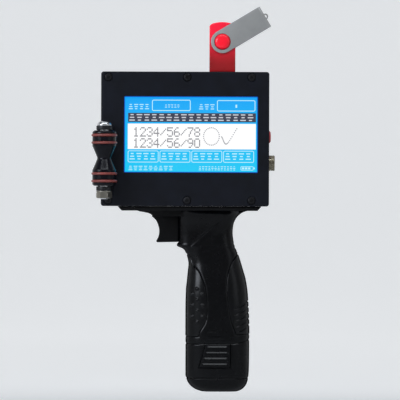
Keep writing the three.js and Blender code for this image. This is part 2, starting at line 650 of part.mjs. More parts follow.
function addHandle() {
  const handle = group();
  const shells = handleShells();
  const side = (y) => block([-90, 60], y, [20, 140]);
  part(handle, 'handle_shell_front', shells.intersect(side([-DEEP, -0.05])), MATERIALS.handlePlastic);
  part(handle, 'handle_shell_rear', shells.intersect(side([0.05, DEEP])), MATERIALS.handlePlastic);
  part(handle, 'grip_pad_front', pad(frontPadOutline()), MATERIALS.rubber);
  part(handle, 'grip_pad_rear', pad(rearPadOutline()), MATERIALS.rubber);
  HANDLE_SCREWS.forEach(([x, z], i) => {
    const fastener = part(handle, `handle_screw_${i + 1}`,
      screw(SCREW.head, SCREW.headHeight, SCREW.shank, 18), MATERIALS.blackScrew);
    fastener.position.set(x, 13.6 + SCREW.headHeight + TOUCH, z);
    fastener.rotation.x = -Math.PI / 2;
  });
  FLANGE_SCREWS.forEach(([x, y], i) => {
    const fastener = part(handle, `flange_screw_${i + 1}`,
      screw(SCREW.head, SCREW.headHeight, SCREW.shank, 5), MATERIALS.blackScrew);
    fastener.position.set(x, y, HANDLE_TOP + 1.6 - SCREW.headHeight - TOUCH);
    fastener.rotation.x = Math.PI;
  });
}

function addTrigger() {
  const { front, z0, z1, half } = TRIGGER;
  const lever = group(printer, [front, 0, 0]);
  const face = new THREE.Shape();
  face.moveTo(0.6, z0 + 0.4).lineTo(-14, z0 - 0.2);
  face.quadraticCurveTo(-16, z0 + 0.2, -15.2, z0 + 2);
  face.quadraticCurveTo(-12.6, 111, -12.9, 116);
  face.quadraticCurveTo(-13.4, 122.4, -18.6, z1 - 0.4);
  face.lineTo(-18.6, z1).lineTo(0.6, z1);
  const keeper = block([3, 6], [-half - 2.6, half + 2.6], [z0 + 0.6, z1 - 0.6]);
  const stem = block([0.5, 7], [-half + 0.6, half - 0.6], [z0 + 0.6, z1]);
  const nose = slabY(face, -half, half, 5);
  part(lever, 'trigger', join(nose, stem, keeper), MATERIALS.handlePlastic);
  const body = join(
    block([15.5, 30], [-7, 7], [106.4, 119]),
    rod('x', 1.6, 12.7, 16, [0, 116.6], 12),
  );
  part(lever, 'trigger_switch', body, MATERIALS.display);
  const spring = part(lever, 'trigger_spring', coil(2.8, 0.45, 7.2, 15.3, 4), MATERIALS.steel);
  spring.rotation.y = Math.PI / 2;
  spring.position.z = 110.6;
}

// ---------------------------------------------------------------- battery

// The press-in tongue on each side of the battery's base, drawn in X and Z.
function latchOutline(grow = 0) {
  return outline([
    [-13.8 - grow, 16.9 - grow], [9.9 + grow, 16.9 - grow],
    [9.9 + grow, 36], [-8.2 - grow, 36],
  ]);
}

function addBattery() {
  const battery = group();
  const inset = SHELL_WALL;
  const base = gripSolid(CAP_Z + 0.15, 42).intersect(batteryZone(-GAP));
  const baseHollow = gripSolid(CAP_Z - 1, SPLIT_Z - 2.4, inset, CORNER_INSIDE, true);
  const stem = gripSolid(SPLIT_Z - 3, STEM_TOP, 2.4, CORNER_INSIDE, true);
  const stemHollow = gripSolid(SPLIT_Z - 4, STEM_TOP - 1.5, 3.3, CORNER_INSIDE, true);
  const terminal = block([-8, 8], [-6, 6], [STEM_TOP - 1, STEM_TOP + 8]);
  const slots = [-5, 0, 5].map((x) => block([x - 1, x + 1], [-3, 3], [STEM_TOP + 2, STEM_TOP + 9]));
  const latchHoles = [[-DEEP, -12], [12, DEEP]].map(([y0, y1]) => slabY(latchOutline(), y0, y1));
  part(battery, 'battery_housing', cut(
    join(base, stem, terminal), baseHollow, stemHollow, ...slots, ...latchHoles,
  ), MATERIALS.handlePlastic);
  part(battery, 'battery_cap', cut(
    gripSolid(0, CAP_Z - 0.15), gripSolid(2.4, CAP_Z + 1, inset + 0.4, CORNER_INSIDE),
  ), MATERIALS.handlePlastic);
  CELL_PLACES.forEach(([x, y], i) => {
    part(battery, `battery_cell_${i + 1}`,
      rod('z', CELL.radius, CELL.z, CELL.z + CELL.length, [x, y], 24), MATERIALS.cell);
  });

  const skin = gripSolid(CAP_Z, SPLIT_Z + 2)
    .subtract(gripSolid(CAP_Z - 1, SPLIT_Z + 3, inset, CORNER_INSIDE));
  const proud = gripSolid(CAP_Z, SPLIT_Z + 2, -0.6).subtract(gripSolid(CAP_Z - 1, SPLIT_Z + 3, 0.5));
  const ribs = [[20, -10.7], [24.1, -9.6], [28.2, -8], [32.4, -7]].map(([z, x0]) => (
    proud.intersect(block([x0, 7.3], [-DEEP, DEEP], [z - 0.8, z + 0.8]))));
  const tongue = slabY(latchOutline(-0.35), -DEEP, DEEP).intersect(batteryZone(-GAP));
  [['front', [-DEEP, -12]], ['rear', [12, DEEP]]].forEach(([place, y]) => {
    const half = block([-30, 30], y, [0, 60]);
    const latch = join(skin.intersect(tongue), ...ribs).intersect(half);
    part(battery, `latch_${place}`, latch, MATERIALS.handlePlastic);
  });
}

addDisplay();
addPrintEngine();
addDoor();
addSidePorts();
addRoller();
addStick();
addHandle();
addTrigger();
addBattery();

export default printer;
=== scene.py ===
"""Looks of the handheld inkjet coder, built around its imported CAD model.

Shapes are drawn in millimetres, which made() turns into metres. Lamps and the camera are in metres.
"""

import math

import bmesh
import bpy
import numpy as np
from mathutils import Matrix, Vector


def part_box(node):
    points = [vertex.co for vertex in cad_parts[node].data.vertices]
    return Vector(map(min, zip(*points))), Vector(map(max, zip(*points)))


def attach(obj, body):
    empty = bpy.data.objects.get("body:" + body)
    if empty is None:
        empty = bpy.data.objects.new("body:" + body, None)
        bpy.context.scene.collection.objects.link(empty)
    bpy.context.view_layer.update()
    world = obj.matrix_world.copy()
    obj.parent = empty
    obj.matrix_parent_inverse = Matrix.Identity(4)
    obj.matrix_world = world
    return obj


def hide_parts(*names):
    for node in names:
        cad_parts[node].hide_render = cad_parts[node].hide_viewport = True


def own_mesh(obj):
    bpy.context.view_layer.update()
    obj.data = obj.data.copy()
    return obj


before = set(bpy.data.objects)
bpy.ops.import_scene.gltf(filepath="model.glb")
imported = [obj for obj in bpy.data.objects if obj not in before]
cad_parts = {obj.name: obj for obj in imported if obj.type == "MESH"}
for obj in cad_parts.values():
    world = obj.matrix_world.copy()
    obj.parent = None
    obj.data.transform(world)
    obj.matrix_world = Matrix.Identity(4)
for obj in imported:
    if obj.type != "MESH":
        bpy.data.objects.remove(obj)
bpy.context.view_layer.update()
MM = 0.001
SHARP = 35  # degrees between two faces, above which their edge stays sharp


def span(node):
    """Lowest and highest corner of a CAD node, in millimetres."""
    low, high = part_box(node)
    return np.array(low) / MM, np.array(high) / MM


def middle(node):
    low, high = span(node)
    return (low + high) / 2


def ends(node, axis, origin=0.0):
    """Lowest and highest place of a CAD node along one axis, from an origin."""
    return [corner["xyz".index(axis)] - origin for corner in span(node)]


# ------------------------------------------------------------------ geometry kit


def added(name, data):
    """A new object in the scene."""
    obj = bpy.data.objects.new(name, data)
    bpy.context.scene.collection.objects.link(obj)
    return obj


def crisp(obj, angle=SHARP):
    """Smooth shading that keeps edges sharper than angle."""
    obj.data.shade_smooth()
    obj.data.set_sharp_from_angle(angle=math.radians(angle))
    return obj


def made(name, points, faces, angle=SHARP):
    mesh = bpy.data.meshes.new(name)
    mesh.from_pydata((np.asarray(points, float) * MM).tolist(), [], faces)
    work = bmesh.new()
    work.from_mesh(mesh)
    bmesh.ops.recalc_face_normals(work, faces=work.faces)
    work.to_mesh(mesh)
    work.free()
    return crisp(added(name, mesh), angle)


def quads(rows, cols, closed, start=0):
    """Faces of a grid of points stored row by row."""
    across = cols if closed else cols - 1
    r, c = np.meshgrid(np.arange(rows - 1), np.arange(across), indexing="ij")
    a = start + r * cols + c
    b = start + r * cols + (c + 1) % cols
    return np.stack([a, b, b + cols, a + cols], -1).reshape(-1, 4).tolist()


def along(axis, level, u, v):
    """Points at a level along one axis, and at u and v along the other two in order."""
    level, u, v = np.broadcast_arrays(level, u, v)
    return np.stack({"x": (level, u, v), "y": (u, level, v), "z": (u, v, level)}[axis], -1)


def all_round(sides):
    """Evenly spaced angles of a full turn."""
    return np.arange(sides) * 2 * math.pi / sides


def arc(centre, radius, start, stop, steps):
    """Points on part of a circle, from one angle to another in degrees."""
    turn = np.radians(np.linspace(start, stop, steps + 1))
    return np.stack([centre[0] + radius * np.cos(turn), centre[1] + radius * np.sin(turn)], -1)


def loft(name, rings, angle=SHARP):
    """A solid through rings of points, with flat ends."""
    rings = np.asarray(rings, float)
    rows, cols = rings.shape[:2]
    faces = quads(rows, cols, True)
    faces += [list(range(cols)), list(range((rows - 1) * cols, rows * cols))]
    return made(name, rings.reshape(-1, 3), faces, angle)


def skin(name, outer, inner, closed, angle=SHARP):
    """A closed wall between an outer and an inner grid of points."""
    rows, cols = outer.shape[:2]
    under = rows * cols
    faces = quads(rows, cols, closed) + quads(rows, cols, closed, under)
    index = np.arange(under).reshape(rows, cols)
    rims = [(line, np.roll(line, -1) if closed else line[1:]) for line in (index[0], index[-1])]
    if not closed:
        rims += [(line, line[1:]) for line in (index[:, 0], index[:, -1])]
    for near, far in rims:
        faces += [[a, b, b + under, a + under] for a, b in zip(near.tolist(), far.tolist())]
    points = np.concatenate([outer.reshape(-1, 3), inner.reshape(-1, 3)])
    return made(name, points, faces, angle)


def turned(name, profile, axis, centre, sides=64, hollow=False, angle=SHARP):
    """A solid of revolution from (radius, height) pairs; a hollow one's profile closes on itself."""
    radius, height = np.hsplit(np.asarray(profile, float), 2)
    turn = all_round(sides)
    rings = along(axis, height, radius * np.cos(turn), radius * np.sin(turn)) + np.asarray(centre, float)
    if not hollow:
        return loft(name, rings, angle)
    rows = len(profile)
    faces = np.array(quads(rows + 1, sides, True)) % (rows * sides)
    return made(name, rings.reshape(-1, 3), faces.tolist(), angle)


def prism(name, outline, axis, low, high, angle=SHARP):
    """An outline, drawn in the other two axes in order, given a thickness along an axis."""
    u, v = np.transpose(outline)
    return loft(name, [along(axis, level, u, v) for level in (low, high)], angle)


def block(name, low, high):
    return prism(name, rectangle(low[0], high[0], low[1], high[1]), "z", low[2], high[2])


def rectangle(u0, u1, v0, v1, radius=0.0, steps=8):
    if radius <= 0:
        return np.array([(u0, v0), (u1, v0), (u1, v1), (u0, v1)], float)
    corners = ((u1 - radius, v0 + radius, -90), (u1 - radius, v1 - radius, 0),
               (u0 + radius, v1 - radius, 90), (u0 + radius, v0 + radius, 180))
    return np.concatenate([arc((u, v), radius, turn, turn + 90, steps) for u, v, turn in corners])


def curve(points, steps=8):
    """A smooth open line through a few points."""
    p = np.asarray(points, float)
    p = np.concatenate([[2 * p[0] - p[1]], p, [2 * p[-1] - p[-2]]])
    t = np.arange(steps)[:, None] / steps
    out = []
    for a, b, c, d in zip(p, p[1:], p[2:], p[3:]):
        out.append(0.5 * (2 * b + (c - a) * t + (2 * a - 5 * b + 4 * c - d) * t ** 2
                          + (3 * b - a - 3 * c + d) * t ** 3))
    return np.concatenate(out + [p[-2:-1]])


def settle(obj):
    """Applies an object's modifiers."""
    graph = bpy.context.evaluated_depsgraph_get()
    obj.data = bpy.data.meshes.new_from_object(obj.evaluated_get(graph))
    obj.modifiers.clear()
    return crisp(obj)


def soften(obj, width, segments, angle):
    """Rounds the edges sharper than an angle, as a modifier that isn't applied yet."""
    bevel = obj.modifiers.new("soft edges", "BEVEL")
    bevel.width = width * MM
    bevel.segments = segments
    bevel.limit_method = "ANGLE"
    bevel.angle_limit = math.radians(angle)


def rounded(obj, width, segments=3, angle=40):
    soften(obj, width, segments, angle)
    return settle(obj)


def combine(obj, operation, *tools, solver="EXACT"):
    for tool in tools:
        step = obj.modifiers.new("combine", "BOOLEAN")
        step.operation = operation
        step.solver = solver
        step.object = tool
        settle(obj)
        bpy.data.objects.remove(tool)
    return obj


def cut(obj, *tools, solver="EXACT"):
    return combine(obj, "DIFFERENCE", *tools, solver=solver)


def rod(axis, radius, low, high, centre, sides=48):
    """A cutter or pin: centre gives the other two coordinates in order."""
    return turned("rod", [(radius, low), (radius, high)], axis, along(axis, 0, *centre), sides)


def smoothstep(low, high, value):
    t = np.clip((np.asarray(value, float) - low) / (high - low), 0, 1)
    return t * t * (3 - 2 * t)


def eased(table, at):
    """A curve through (place, value) pairs that never overshoots them, and is level past its ends."""
    xs, ys = np.array(sorted(table), float).T
    h = np.diff(xs)
    slope = np.diff(ys) / h
    lean = np.concatenate([slope[:1], np.zeros(len(xs) - 2), slope[-1:]])
    for k in range(1, len(xs) - 1):
        if slope[k - 1] * slope[k] > 0:
            w1, w2 = 2 * h[k] + h[k - 1], h[k] + 2 * h[k - 1]
            lean[k] = (w1 + w2) / (w1 / slope[k - 1] + w2 / slope[k])
    at = np.clip(np.asarray(at, float), xs[0], xs[-1])
    k = np.clip(np.searchsorted(xs, at) - 1, 0, len(h) - 1)
    t = (at - xs[k]) / h[k]
    return ((1 + 2 * t) * (1 - t) ** 2 * ys[k] + t * (1 - t) ** 2 * h[k] * lean[k]
            + t ** 2 * (3 - 2 * t) * ys[k + 1] + t ** 2 * (t - 1) * h[k] * lean[k + 1])


# ------------------------------------------------------------------ materials


def feed(mat, node, inputs):
    """Gives a node's sockets their values, or links them to another node's output."""
    for socket, value in inputs.items():
        if isinstance(value, bpy.types.NodeSocket):
            mat.node_tree.links.new(value, node.inputs[socket])
        else:
            node.inputs[socket].default_value = value


def add(mat, kind, inputs=None, **settings):
    """A new node of a material."""
    node = mat.node_tree.nodes.new("ShaderNode" + kind)
    for name, value in settings.items():
        setattr(node, name, value)
    feed(mat, node, inputs or {})
    return node


def blank(name):
    """A new material and its shader."""
    mat = bpy.data.materials.new(name)
    mat.use_nodes = True
    return mat, mat.node_tree.nodes["Principled BSDF"]


def axes(mat):
    """The coordinates, in metres, at which a material is looked up."""
    return add(mat, "SeparateXYZ", {"Vector": add(mat, "TexCoord").outputs["Object"]}).outputs


def ramp(mat, source, reach, result=(0.0, 1.0), smooth=False):
    """Changes a value from one end of the result to the other, as the source crosses its reach."""
    node = add(mat, "MapRange", {
        "Value": source,
        "From Min": reach[0],
        "From Max": reach[1],
        "To Min": result[0],
        "To Max": result[1],
    }, interpolation_type="SMOOTHSTEP" if smooth else "LINEAR")
    return node.outputs["Result"]


def grained(name, colour, rough, metal=0.0, grain=0.6, relief=0.02, spread=0.25, coat=0.0, specular=0.5,
            rim=None):
    """A surface with mottled colour, uneven gloss and a fine grain of that size in millimetres.

    With a rim it loses its gloss at a glancing angle, as a worn or finely textured plastic does: the rim is
    how steep the fall begins and ends, from 0 for square on to 1, and the gloss that is left.
    """
    mat, shader = blank(name)
    place = add(mat, "TexCoord").outputs["Object"]

    def noise(size, detail):
        links = {"Vector": place, "Scale": 1 / (size * MM), "Detail": detail}
        return add(mat, "TexNoise", links).outputs["Fac"]

    mottle = add(mat, "ValToRGB", {"Fac": noise(grain * 28, 3)})
    for shade, position, gain in zip(mottle.color_ramp.elements, (0.3, 0.7), (1 - spread, 1 + spread)):
        shade.color = [min(1, c * gain) for c in colour] + [1]
        shade.position = position
    bump = add(mat, "Bump", {"Height": noise(grain, 2), "Strength": 0.6, "Distance": relief * MM})
    feed(mat, shader, {
        "Base Color": mottle.outputs["Color"],
        "Roughness": ramp(mat, noise(grain * 9, 4), (0, 1), (rough - 0.08, rough + 0.08)),
        "Normal": bump.outputs["Normal"],
        "Metallic": metal,
        "Specular IOR Level": specular,
        "Coat Weight": coat,
        "Coat Roughness": 0.12,
    })
    if rim:
        glance = add(mat, "LayerWeight").outputs["Facing"]
        feed(mat, shader, {"Specular IOR Level": ramp(mat, glance, rim[:2], (specular, rim[2]))})
    return mat


def painted_top_light(mat, colour, low, high):
    """Paints light onto a material's upper part: its colour brightens with height, a painted highlight that
    stands for light falling from above.
    """
    shader = mat.node_tree.nodes["Principled BSDF"]
    mix = add(mat, "MixRGB", {
        "Fac": ramp(mat, axes(mat)["Z"], (low * MM, high * MM), smooth=True),
        "Color1": shader.inputs["Base Color"].links[0].from_socket,
        "Color2": (*colour, 1),
    })
    feed(mat, shader, {"Base Color": mix.outputs["Color"]})


def turned_metal(name, colour, rough, axis, pitch, relief=0.01, metal=1.0, specular=0.5):
    """Metal with the fine rings that a lathe leaves along an axis."""
    mat = grained(name, colour, rough, metal, grain=0.4, relief=relief, spread=0.12, specular=specular)
    shader = mat.node_tree.nodes["Principled BSDF"]
    rings = add(mat, "TexWave", {
        "Vector": add(mat, "TexCoord").outputs["Object"],
        "Scale": 1 / (pitch * MM) / 6.28,
        "Distortion": 0.4,
    }, wave_type="BANDS", bands_direction=axis.upper())
    bump = add(mat, "Bump", {
        "Height": rings.outputs["Fac"],
        "Normal": shader.inputs["Normal"].links[0].from_socket,
        "Strength": 0.5,
        "Distance": relief * MM,
    })
    feed(mat, shader, {"Normal": bump.outputs["Normal"]})
    return mat


def lit(name, colour, low=None, heights=None):
    """A lit part of the display; with a second colour, it fades from low at the bottom."""
    mat, shader = blank(name)
    feed(mat, shader, {
        "Base Color": (0.01, 0.012, 0.016, 1),
        "Roughness": 0.18,
        "Specular IOR Level": 0.3,
        "Emission Color": (*colour, 1),
        "Emission Strength": 1.0,
    })
    if low:
        fade = add(mat, "ValToRGB", {"Fac": ramp(mat, axes(mat)["Z"], [z * MM for z in heights])})
        for shade, end in zip(fade.color_ramp.elements, (low, colour)):
            shade.color = (*end, 1)
        feed(mat, shader, {"Emission Color": fade.outputs["Color"]})
    return mat


# How the black parts lose their gloss at a glancing angle.
PAINTED_RIM = (0.35, 0.85, 0.02)
MOULDED_RIM = (0.2, 0.76, 0.0)
HEAD_BLACK = grained("head black", (0.0028, 0.0034, 0.0057), 0.48, grain=0.35, relief=0.012, specular=0.165,
                     rim=PAINTED_RIM)
PANEL_BLACK = grained("panel black", (0.0022, 0.003, 0.0062), 0.46, grain=0.3, relief=0.008, specular=0.165,
                      rim=PAINTED_RIM)
GRIP_BLACK = grained("grip black", (0.0006, 0.0007, 0.0012), 0.25, grain=0.3, relief=0.008, specular=0.145,
                     rim=MOULDED_RIM)
PAD_BLACK = grained("pad rubber", (0.0006, 0.0007, 0.0012), 0.24, grain=0.22, relief=0.012, specular=0.18,
                    rim=MOULDED_RIM)
TRIGGER_BLACK = grained("trigger black", (0.0007, 0.0008, 0.0012), 0.36, grain=0.3, specular=0.14,
                        rim=MOULDED_RIM)
SCREW_BLACK = grained("black screws", (0.016, 0.016, 0.018), 0.38, 0.85, grain=0.25, relief=0.01)
BRACKET_BLACK = grained("bracket black", (0.0045, 0.0045, 0.006), 0.42, grain=0.3, relief=0.01,
                        specular=0.26, rim=PAINTED_RIM)
INNER_DARK = grained("inner plastic", (0.02, 0.02, 0.024), 0.55, grain=0.4)
BOARD_GREEN = grained("circuit board", (0.008, 0.11, 0.04), 0.4, grain=0.5, spread=0.3)
CELL_SLEEVE = grained("cell sleeve", (0.035, 0.036, 0.042), 0.35, grain=0.8)
CARTRIDGE_DARK = grained("cartridge shell", (0.018, 0.021, 0.027), 0.4, grain=0.4)
LABEL_PAPER = grained("label paper", (0.5, 0.5, 0.48), 0.6, grain=0.6, relief=0.004, spread=0.06)
LABEL_BAND = grained("label band", (0.03, 0.11, 0.16), 0.5, grain=0.6, relief=0.004, spread=0.08)
GOLD = grained("gold", (0.75, 0.5, 0.18), 0.28, 1.0, grain=0.3, relief=0.004)
STEEL = grained("bright steel", (0.62, 0.62, 0.63), 0.2, 1.0, grain=0.5, relief=0.004)
NUT_STEEL = grained("dull nickel", (0.25, 0.235, 0.2), 0.32, 1.0, grain=0.5, relief=0.02, spread=0.3)
RING_RED = grained("ring rubber", (0.16, 0.026, 0.02), 0.4, grain=0.3, relief=0.012)
STICK_RED = grained("red plastic", (0.315, 0.005, 0.008), 0.32, grain=0.5, relief=0.003, spread=0.12,
                    coat=0.08, specular=0.35)
# Painted highlight: the stick's top is painted a lighter red, as light from above would show it.
painted_top_light(STICK_RED, (0.85, 0.006, 0.034), 234, 257)
RIVET_RED = grained("red rivet", (0.92, 0.004, 0.02), 0.3, grain=0.5, relief=0.003, coat=0.15, specular=0.3)
BUTTON_RED = grained("red button", (0.36, 0.012, 0.018), 0.35, grain=0.4, relief=0.006)
SLEEVE_GREY = grained("grey metal", (0.372, 0.372, 0.367), 0.42, 0.85, grain=0.25, relief=0.008, spread=0.04)


def piece(obj, body, slot, material, *nodes):
    """Paints a finished piece, rides it on a body and hides the CAD nodes that it stands for."""
    obj.data.materials.clear()
    obj.data.materials.append(material)
    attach(obj, body)
    if nodes:
        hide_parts(*nodes)
    return obj


def keep(material, bevel, *nodes):
    """A CAD node that stays, with a better material and softened edges."""
    for node in nodes:
        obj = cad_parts[node]
        obj.data.materials.clear()
        obj.data.materials.append(material)
        if bevel:
            soften(obj, bevel, 2, 50)


# ------------------------------------------------------------------ screws


def screw_pattern():
    """A low domed screw head with a hexagon socket, its top at 0 and its shank along -Z."""
    radius, height, socket = 2.65, 1.6, 1.25
    edge = curve([(radius, -height), (radius, -height * 0.45), (radius * 0.86, -height * 0.12),
                  (radius * 0.55, 0)], 4)
    profile = [(radius * 0.5, -height * 4), (radius * 0.5, -height), *edge]
    head = turned("screw_pattern", profile, "z", (0, 0, 0), 32)
    return cut(head, rod("z", socket, -height * 0.7, 1, (0, 0), 6))


SCREW = screw_pattern()
# The axis and the angle that turn the pattern's head from +Z to each way that screws face.
TURNS = {"-y": ("X", 90), "+y": ("X", -90), "-x": ("Y", -90), "-z": ("X", 180)}


def add_screws(stem, count, facing, label):
    """Copies of the screw, each where a CAD screw is, with its head facing one way."""
    axis = "xyz".index(facing[1])
    about, angle = TURNS[facing]
    for i in range(1, count + 1):
        node = f"{stem}_{i}"
        spot = middle(node)
        spot[axis] = span(node)[0 if facing[0] == "-" else 1][axis]
        copy = added(f"{label}_{i}", SCREW.data.copy())
        lean = Matrix.Rotation(math.radians(angle), 4, about)
        spin = Matrix.Rotation(math.radians(17 * i), 4, "Z")
        copy.data.transform(Matrix.Translation(Vector(spot * MM)) @ lean @ spin)
        piece(copy, "printer", "black_screws", SCREW_BLACK, node)


add_screws("panel_screw", 6, "-y", "panel_bolt")
add_screws("bracket_screw", 2, "-x", "bracket_bolt")
add_screws("handle_screw", 4, "+y", "handle_bolt")
add_screws("flange_screw", 4, "-z", "flange_bolt")
bpy.data.objects.remove(SCREW)

# ------------------------------------------------------------------ head

PANEL_LOW, PANEL_HIGH = span("front_panel")
DOOR_LOW, DOOR_HIGH = span("cartridge_door")
HEAD_X = (PANEL_LOW[0], PANEL_HIGH[0])
HEAD_Z = (PANEL_LOW[2], PANEL_HIGH[2])
HEAD_BACK = -PANEL_LOW[1]
CORNER = 1.9
WALL = 2.5
GLASS_FRONT = span("touch_glass")[0][1]
WINDOW = (95.4, 54.4)
WINDOW_X, WINDOW_Z = ((at - size / 2, at + size / 2) for at, size in zip(middle("touch_glass")[::2], WINDOW))
HINGE = middle("door_hinge_pin")[:2]
BARREL = 2.4
PIN_HOLE = 1.3
KNUCKLE = 15.0  # from the door's ends to the gaps between the hinge's three parts
SNOUT_Z = (151.3, 177.7)


def panel_plate():
    plate = prism("panel_plate", rectangle(*HEAD_X, *HEAD_Z, CORNER), "y", PANEL_LOW[1], PANEL_HIGH[1])
    rounded(plate, 0.55, 3)
    window = rectangle(*WINDOW_X, *WINDOW_Z, 0.8, 4)
    cut(plate, prism("window", window, "y", PANEL_LOW[1] - 1, PANEL_HIGH[1] + 1))
    seat = [(3.25, -1), (3.25, 0), (3.0, 0.25), (3.0, 1.9), (1.6, 1.9), (1.6, 4)]
    for i in range(1, 7):
        x, _, z = middle(f"panel_screw_{i}")
        cut(plate, turned("seat", seat, "y", (x, PANEL_LOW[1], z), 40))
    piece(plate, "printer", "head_shell", PANEL_BLACK, "front_panel")


def thumb_notch():
    """The cutter of the hollow by which a thumb opens the door."""
    return rod("z", 7, 176, 186, (HEAD_X[0] - 5.2, HEAD_BACK + 1.6), 64)


def head_shell():
    front = span("head_housing")[0][1]
    shell = prism("head_shell", rectangle(*HEAD_X, *HEAD_Z, CORNER), "y", front, HEAD_BACK)
    rounded(shell, 0.7, 3)
    inside = rectangle(HEAD_X[0] + WALL, HEAD_X[1] - WALL, HEAD_Z[0] + WALL, HEAD_Z[1] - WALL, 1.5, 3)
    cut(shell, prism("inside", inside, "y", front - 1, HEAD_BACK - WALL))
    bay_end = span("cartridge_carrier")[1][0] - 0.6
    bay = (DOOR_LOW[2] - 0.4, DOOR_HIGH[2] + 0.4)
    mouth = (SNOUT_Z[0] - 0.8, SNOUT_Z[1] + 0.8)
    stick = middle("usb_drive_plug")
    cut(shell,
        block("bay", (HEAD_X[0] - 1, HEAD_BACK - WALL - 0.5, bay[0]), (bay_end, HEAD_BACK + 1, bay[1])),
        block("mouth", (HEAD_X[0] - 1, 2, mouth[0]), (HEAD_X[0] + 5, HEAD_BACK + 1, mouth[1])),
        rod("x", 4.8, HEAD_X[1] - 5, HEAD_X[1] + 1, middle("power_button")[1:]),
        rod("x", 6.0, HEAD_X[1] - 5, HEAD_X[1] + 1, middle("sensor_connector")[1:]),
        block("slot", (*stick[:2] - (6.7, 3), HEAD_Z[1] - 5), (*stick[:2] + (6.7, 3), HEAD_Z[1] + 1)),
        rod("z", 2.7, bay[0] + KNUCKLE, bay[1] - KNUCKLE, HINGE, 32))
    for low, high in ((bay[0] + 1, bay[0] + KNUCKLE), (bay[1] - KNUCKLE, bay[1] - 1)):
        barrel = rod("z", BARREL, low, high, HINGE, 40)
        foot = block("foot", (HINGE[0], HEAD_BACK - 1, low), (HINGE[0] + 3.4, HINGE[1] + 1, high))
        combine(barrel, "UNION", rounded(foot, 0.4, 2))
        cut(barrel, rod("z", PIN_HOLE, low - 1, high + 1, HINGE, 24))
        combine(shell, "UNION", barrel)
    cut(shell, thumb_notch())
    piece(shell, "printer", "head_shell", HEAD_BLACK, "head_housing")


def door():
    x0, z0, z1 = DOOR_LOW[0], DOOR_LOW[2], DOOR_HIGH[2]
    x1 = HINGE[0] - BARREL
    leaf = prism("door_leaf", rectangle(x0, x1, z0, z1, 0.8, 3), "y", DOOR_LOW[1], HEAD_BACK)
    rounded(leaf, 0.45, 2)
    middle_part = (z0 + KNUCKLE, z1 - KNUCKLE)
    arm = [(HINGE[0] - 6, HEAD_BACK - 0.6), (HINGE[0] - 2.5, HEAD_BACK - 0.6),
           (HINGE[0] - 1.6, HEAD_BACK + 0.2), (HINGE[0], HINGE[1] + 1), (HINGE[0] - 4.6, HINGE[1] + 1)]
    combine(leaf, "UNION", rod("z", BARREL, *middle_part, HINGE, 40),
            rounded(prism("arm", arm, "z", *middle_part), 0.3, 2))
    cut(leaf, rod("z", PIN_HOLE, z0, z1, HINGE, 24), thumb_notch())
    # Shallow finger ribs by the free edge, where a thumb swings the door open.
    for k in range(6):
        z = 169.5 + 4.6 * k
        outline = rectangle(x0 + 9, x0 + 21, z - 0.8, z + 0.8, 0.75, 4)
        rib = prism("rib", outline, "y", HEAD_BACK - 0.5, HEAD_BACK + 0.7)
        combine(leaf, "UNION", rounded(rib, 0.35, 3))
    # A stiffening rim with two bars stands on the inner face.
    inner = DOOR_LOW[1]
    rim = prism("rim", rectangle(x0 + 6, x1 - 5, z0 + 5, z1 - 5, 2.5, 5), "y", inner - 0.9, inner + 0.5)
    for low_z, high_z in ((z0 + 6.6, z0 + 25), (z0 + 26.6, z1 - 26.6), (z1 - 25, z1 - 6.6)):
        opening = rectangle(x0 + 7.6, x1 - 6.6, low_z, high_z, 1, 4)
        cut(rim, prism("opening", opening, "y", inner - 2, inner + 2))
    combine(leaf, "UNION", rounded(rim, 0.25, 2))
    piece(leaf, "door", "head_shell", HEAD_BLACK, "cartridge_door")
    low, high = ends("door_hinge_pin", "z")
    profile = [(0.9, low), (1.2, low + 0.3), (1.2, high - 0.3), (0.9, high)]
    pin = turned("door_pin", profile, "z", (*HINGE, 0), 32)
    piece(pin, "printer", "bright_steel", STEEL, "door_hinge_pin")


panel_plate()
head_shell()
door()

# ------------------------------------------------------------------ display


class Inlay:
    """Thin flat shapes in the display's own millimetres, gathered into one piece on the glass."""

    def __init__(self, layer=1):
        self.front = GLASS_FRONT - 0.06 * layer
        self.points, self.faces = [], []

    def _ring(self, outline, depth):
        start = len(self.points)
        self.points += [(WINDOW_X[0] + u, depth, WINDOW_Z[0] + v) for u, v in outline]
        return list(range(start, len(self.points)))

    def _wall(self, rings, closed):
        """Bands of faces from each ring of points to the next."""
        for a, b in zip(rings, rings[1:] + rings[:1] if closed else rings[1:]):
            n = len(a)
            self.faces += [[a[i], a[(i + 1) % n], b[(i + 1) % n], b[i]] for i in range(n)]

    def tile(self, u0, u1, v0, v1):
        outline = rectangle(u0, u1, v0, v1)
        near, far = self._ring(outline, self.front), self._ring(outline, self.front + 0.05)
        self._wall([near, far], False)
        self.faces += [near, far[::-1]]

    def frame(self, u0, u1, v0, v1, radius, line):
        outer = rectangle(u0, u1, v0, v1, radius, 4)
        inner = rectangle(u0 + line, u1 - line, v0 + line, v1 - line, max(radius - line, 0.1), 4)
        back = self.front + 0.05
        self._wall([self._ring(outer, self.front), self._ring(inner, self.front),
                    self._ring(inner, back), self._ring(outer, back)], True)

    def dot(self, u, v):
        self.tile(u - 0.4, u + 0.4, v - 0.4, v + 0.4)

    def words(self, u0, u1, v0, v1, count):
        """Stands for a word: small blocks of three short bars each, with no letters in them."""
        pitch = (u1 - u0) / count
        bar = (v1 - v0) * 0.17
        for i in range(count):
            left, width = u0 + pitch * i, pitch * 0.76
            for k in range(3):
                low = v0 + (v1 - v0 - bar) * k / 2
                short = width * 0.22 * ((i * 2 + k * (i % 2 + 1)) % 3)
                self.tile(left + short / 2, left + width - short / 2, low, low + bar)

    def done(self, name, label, colour):
        piece(made(name, self.points, self.faces), "printer", "screen", lit(f"screen {label}", colour))


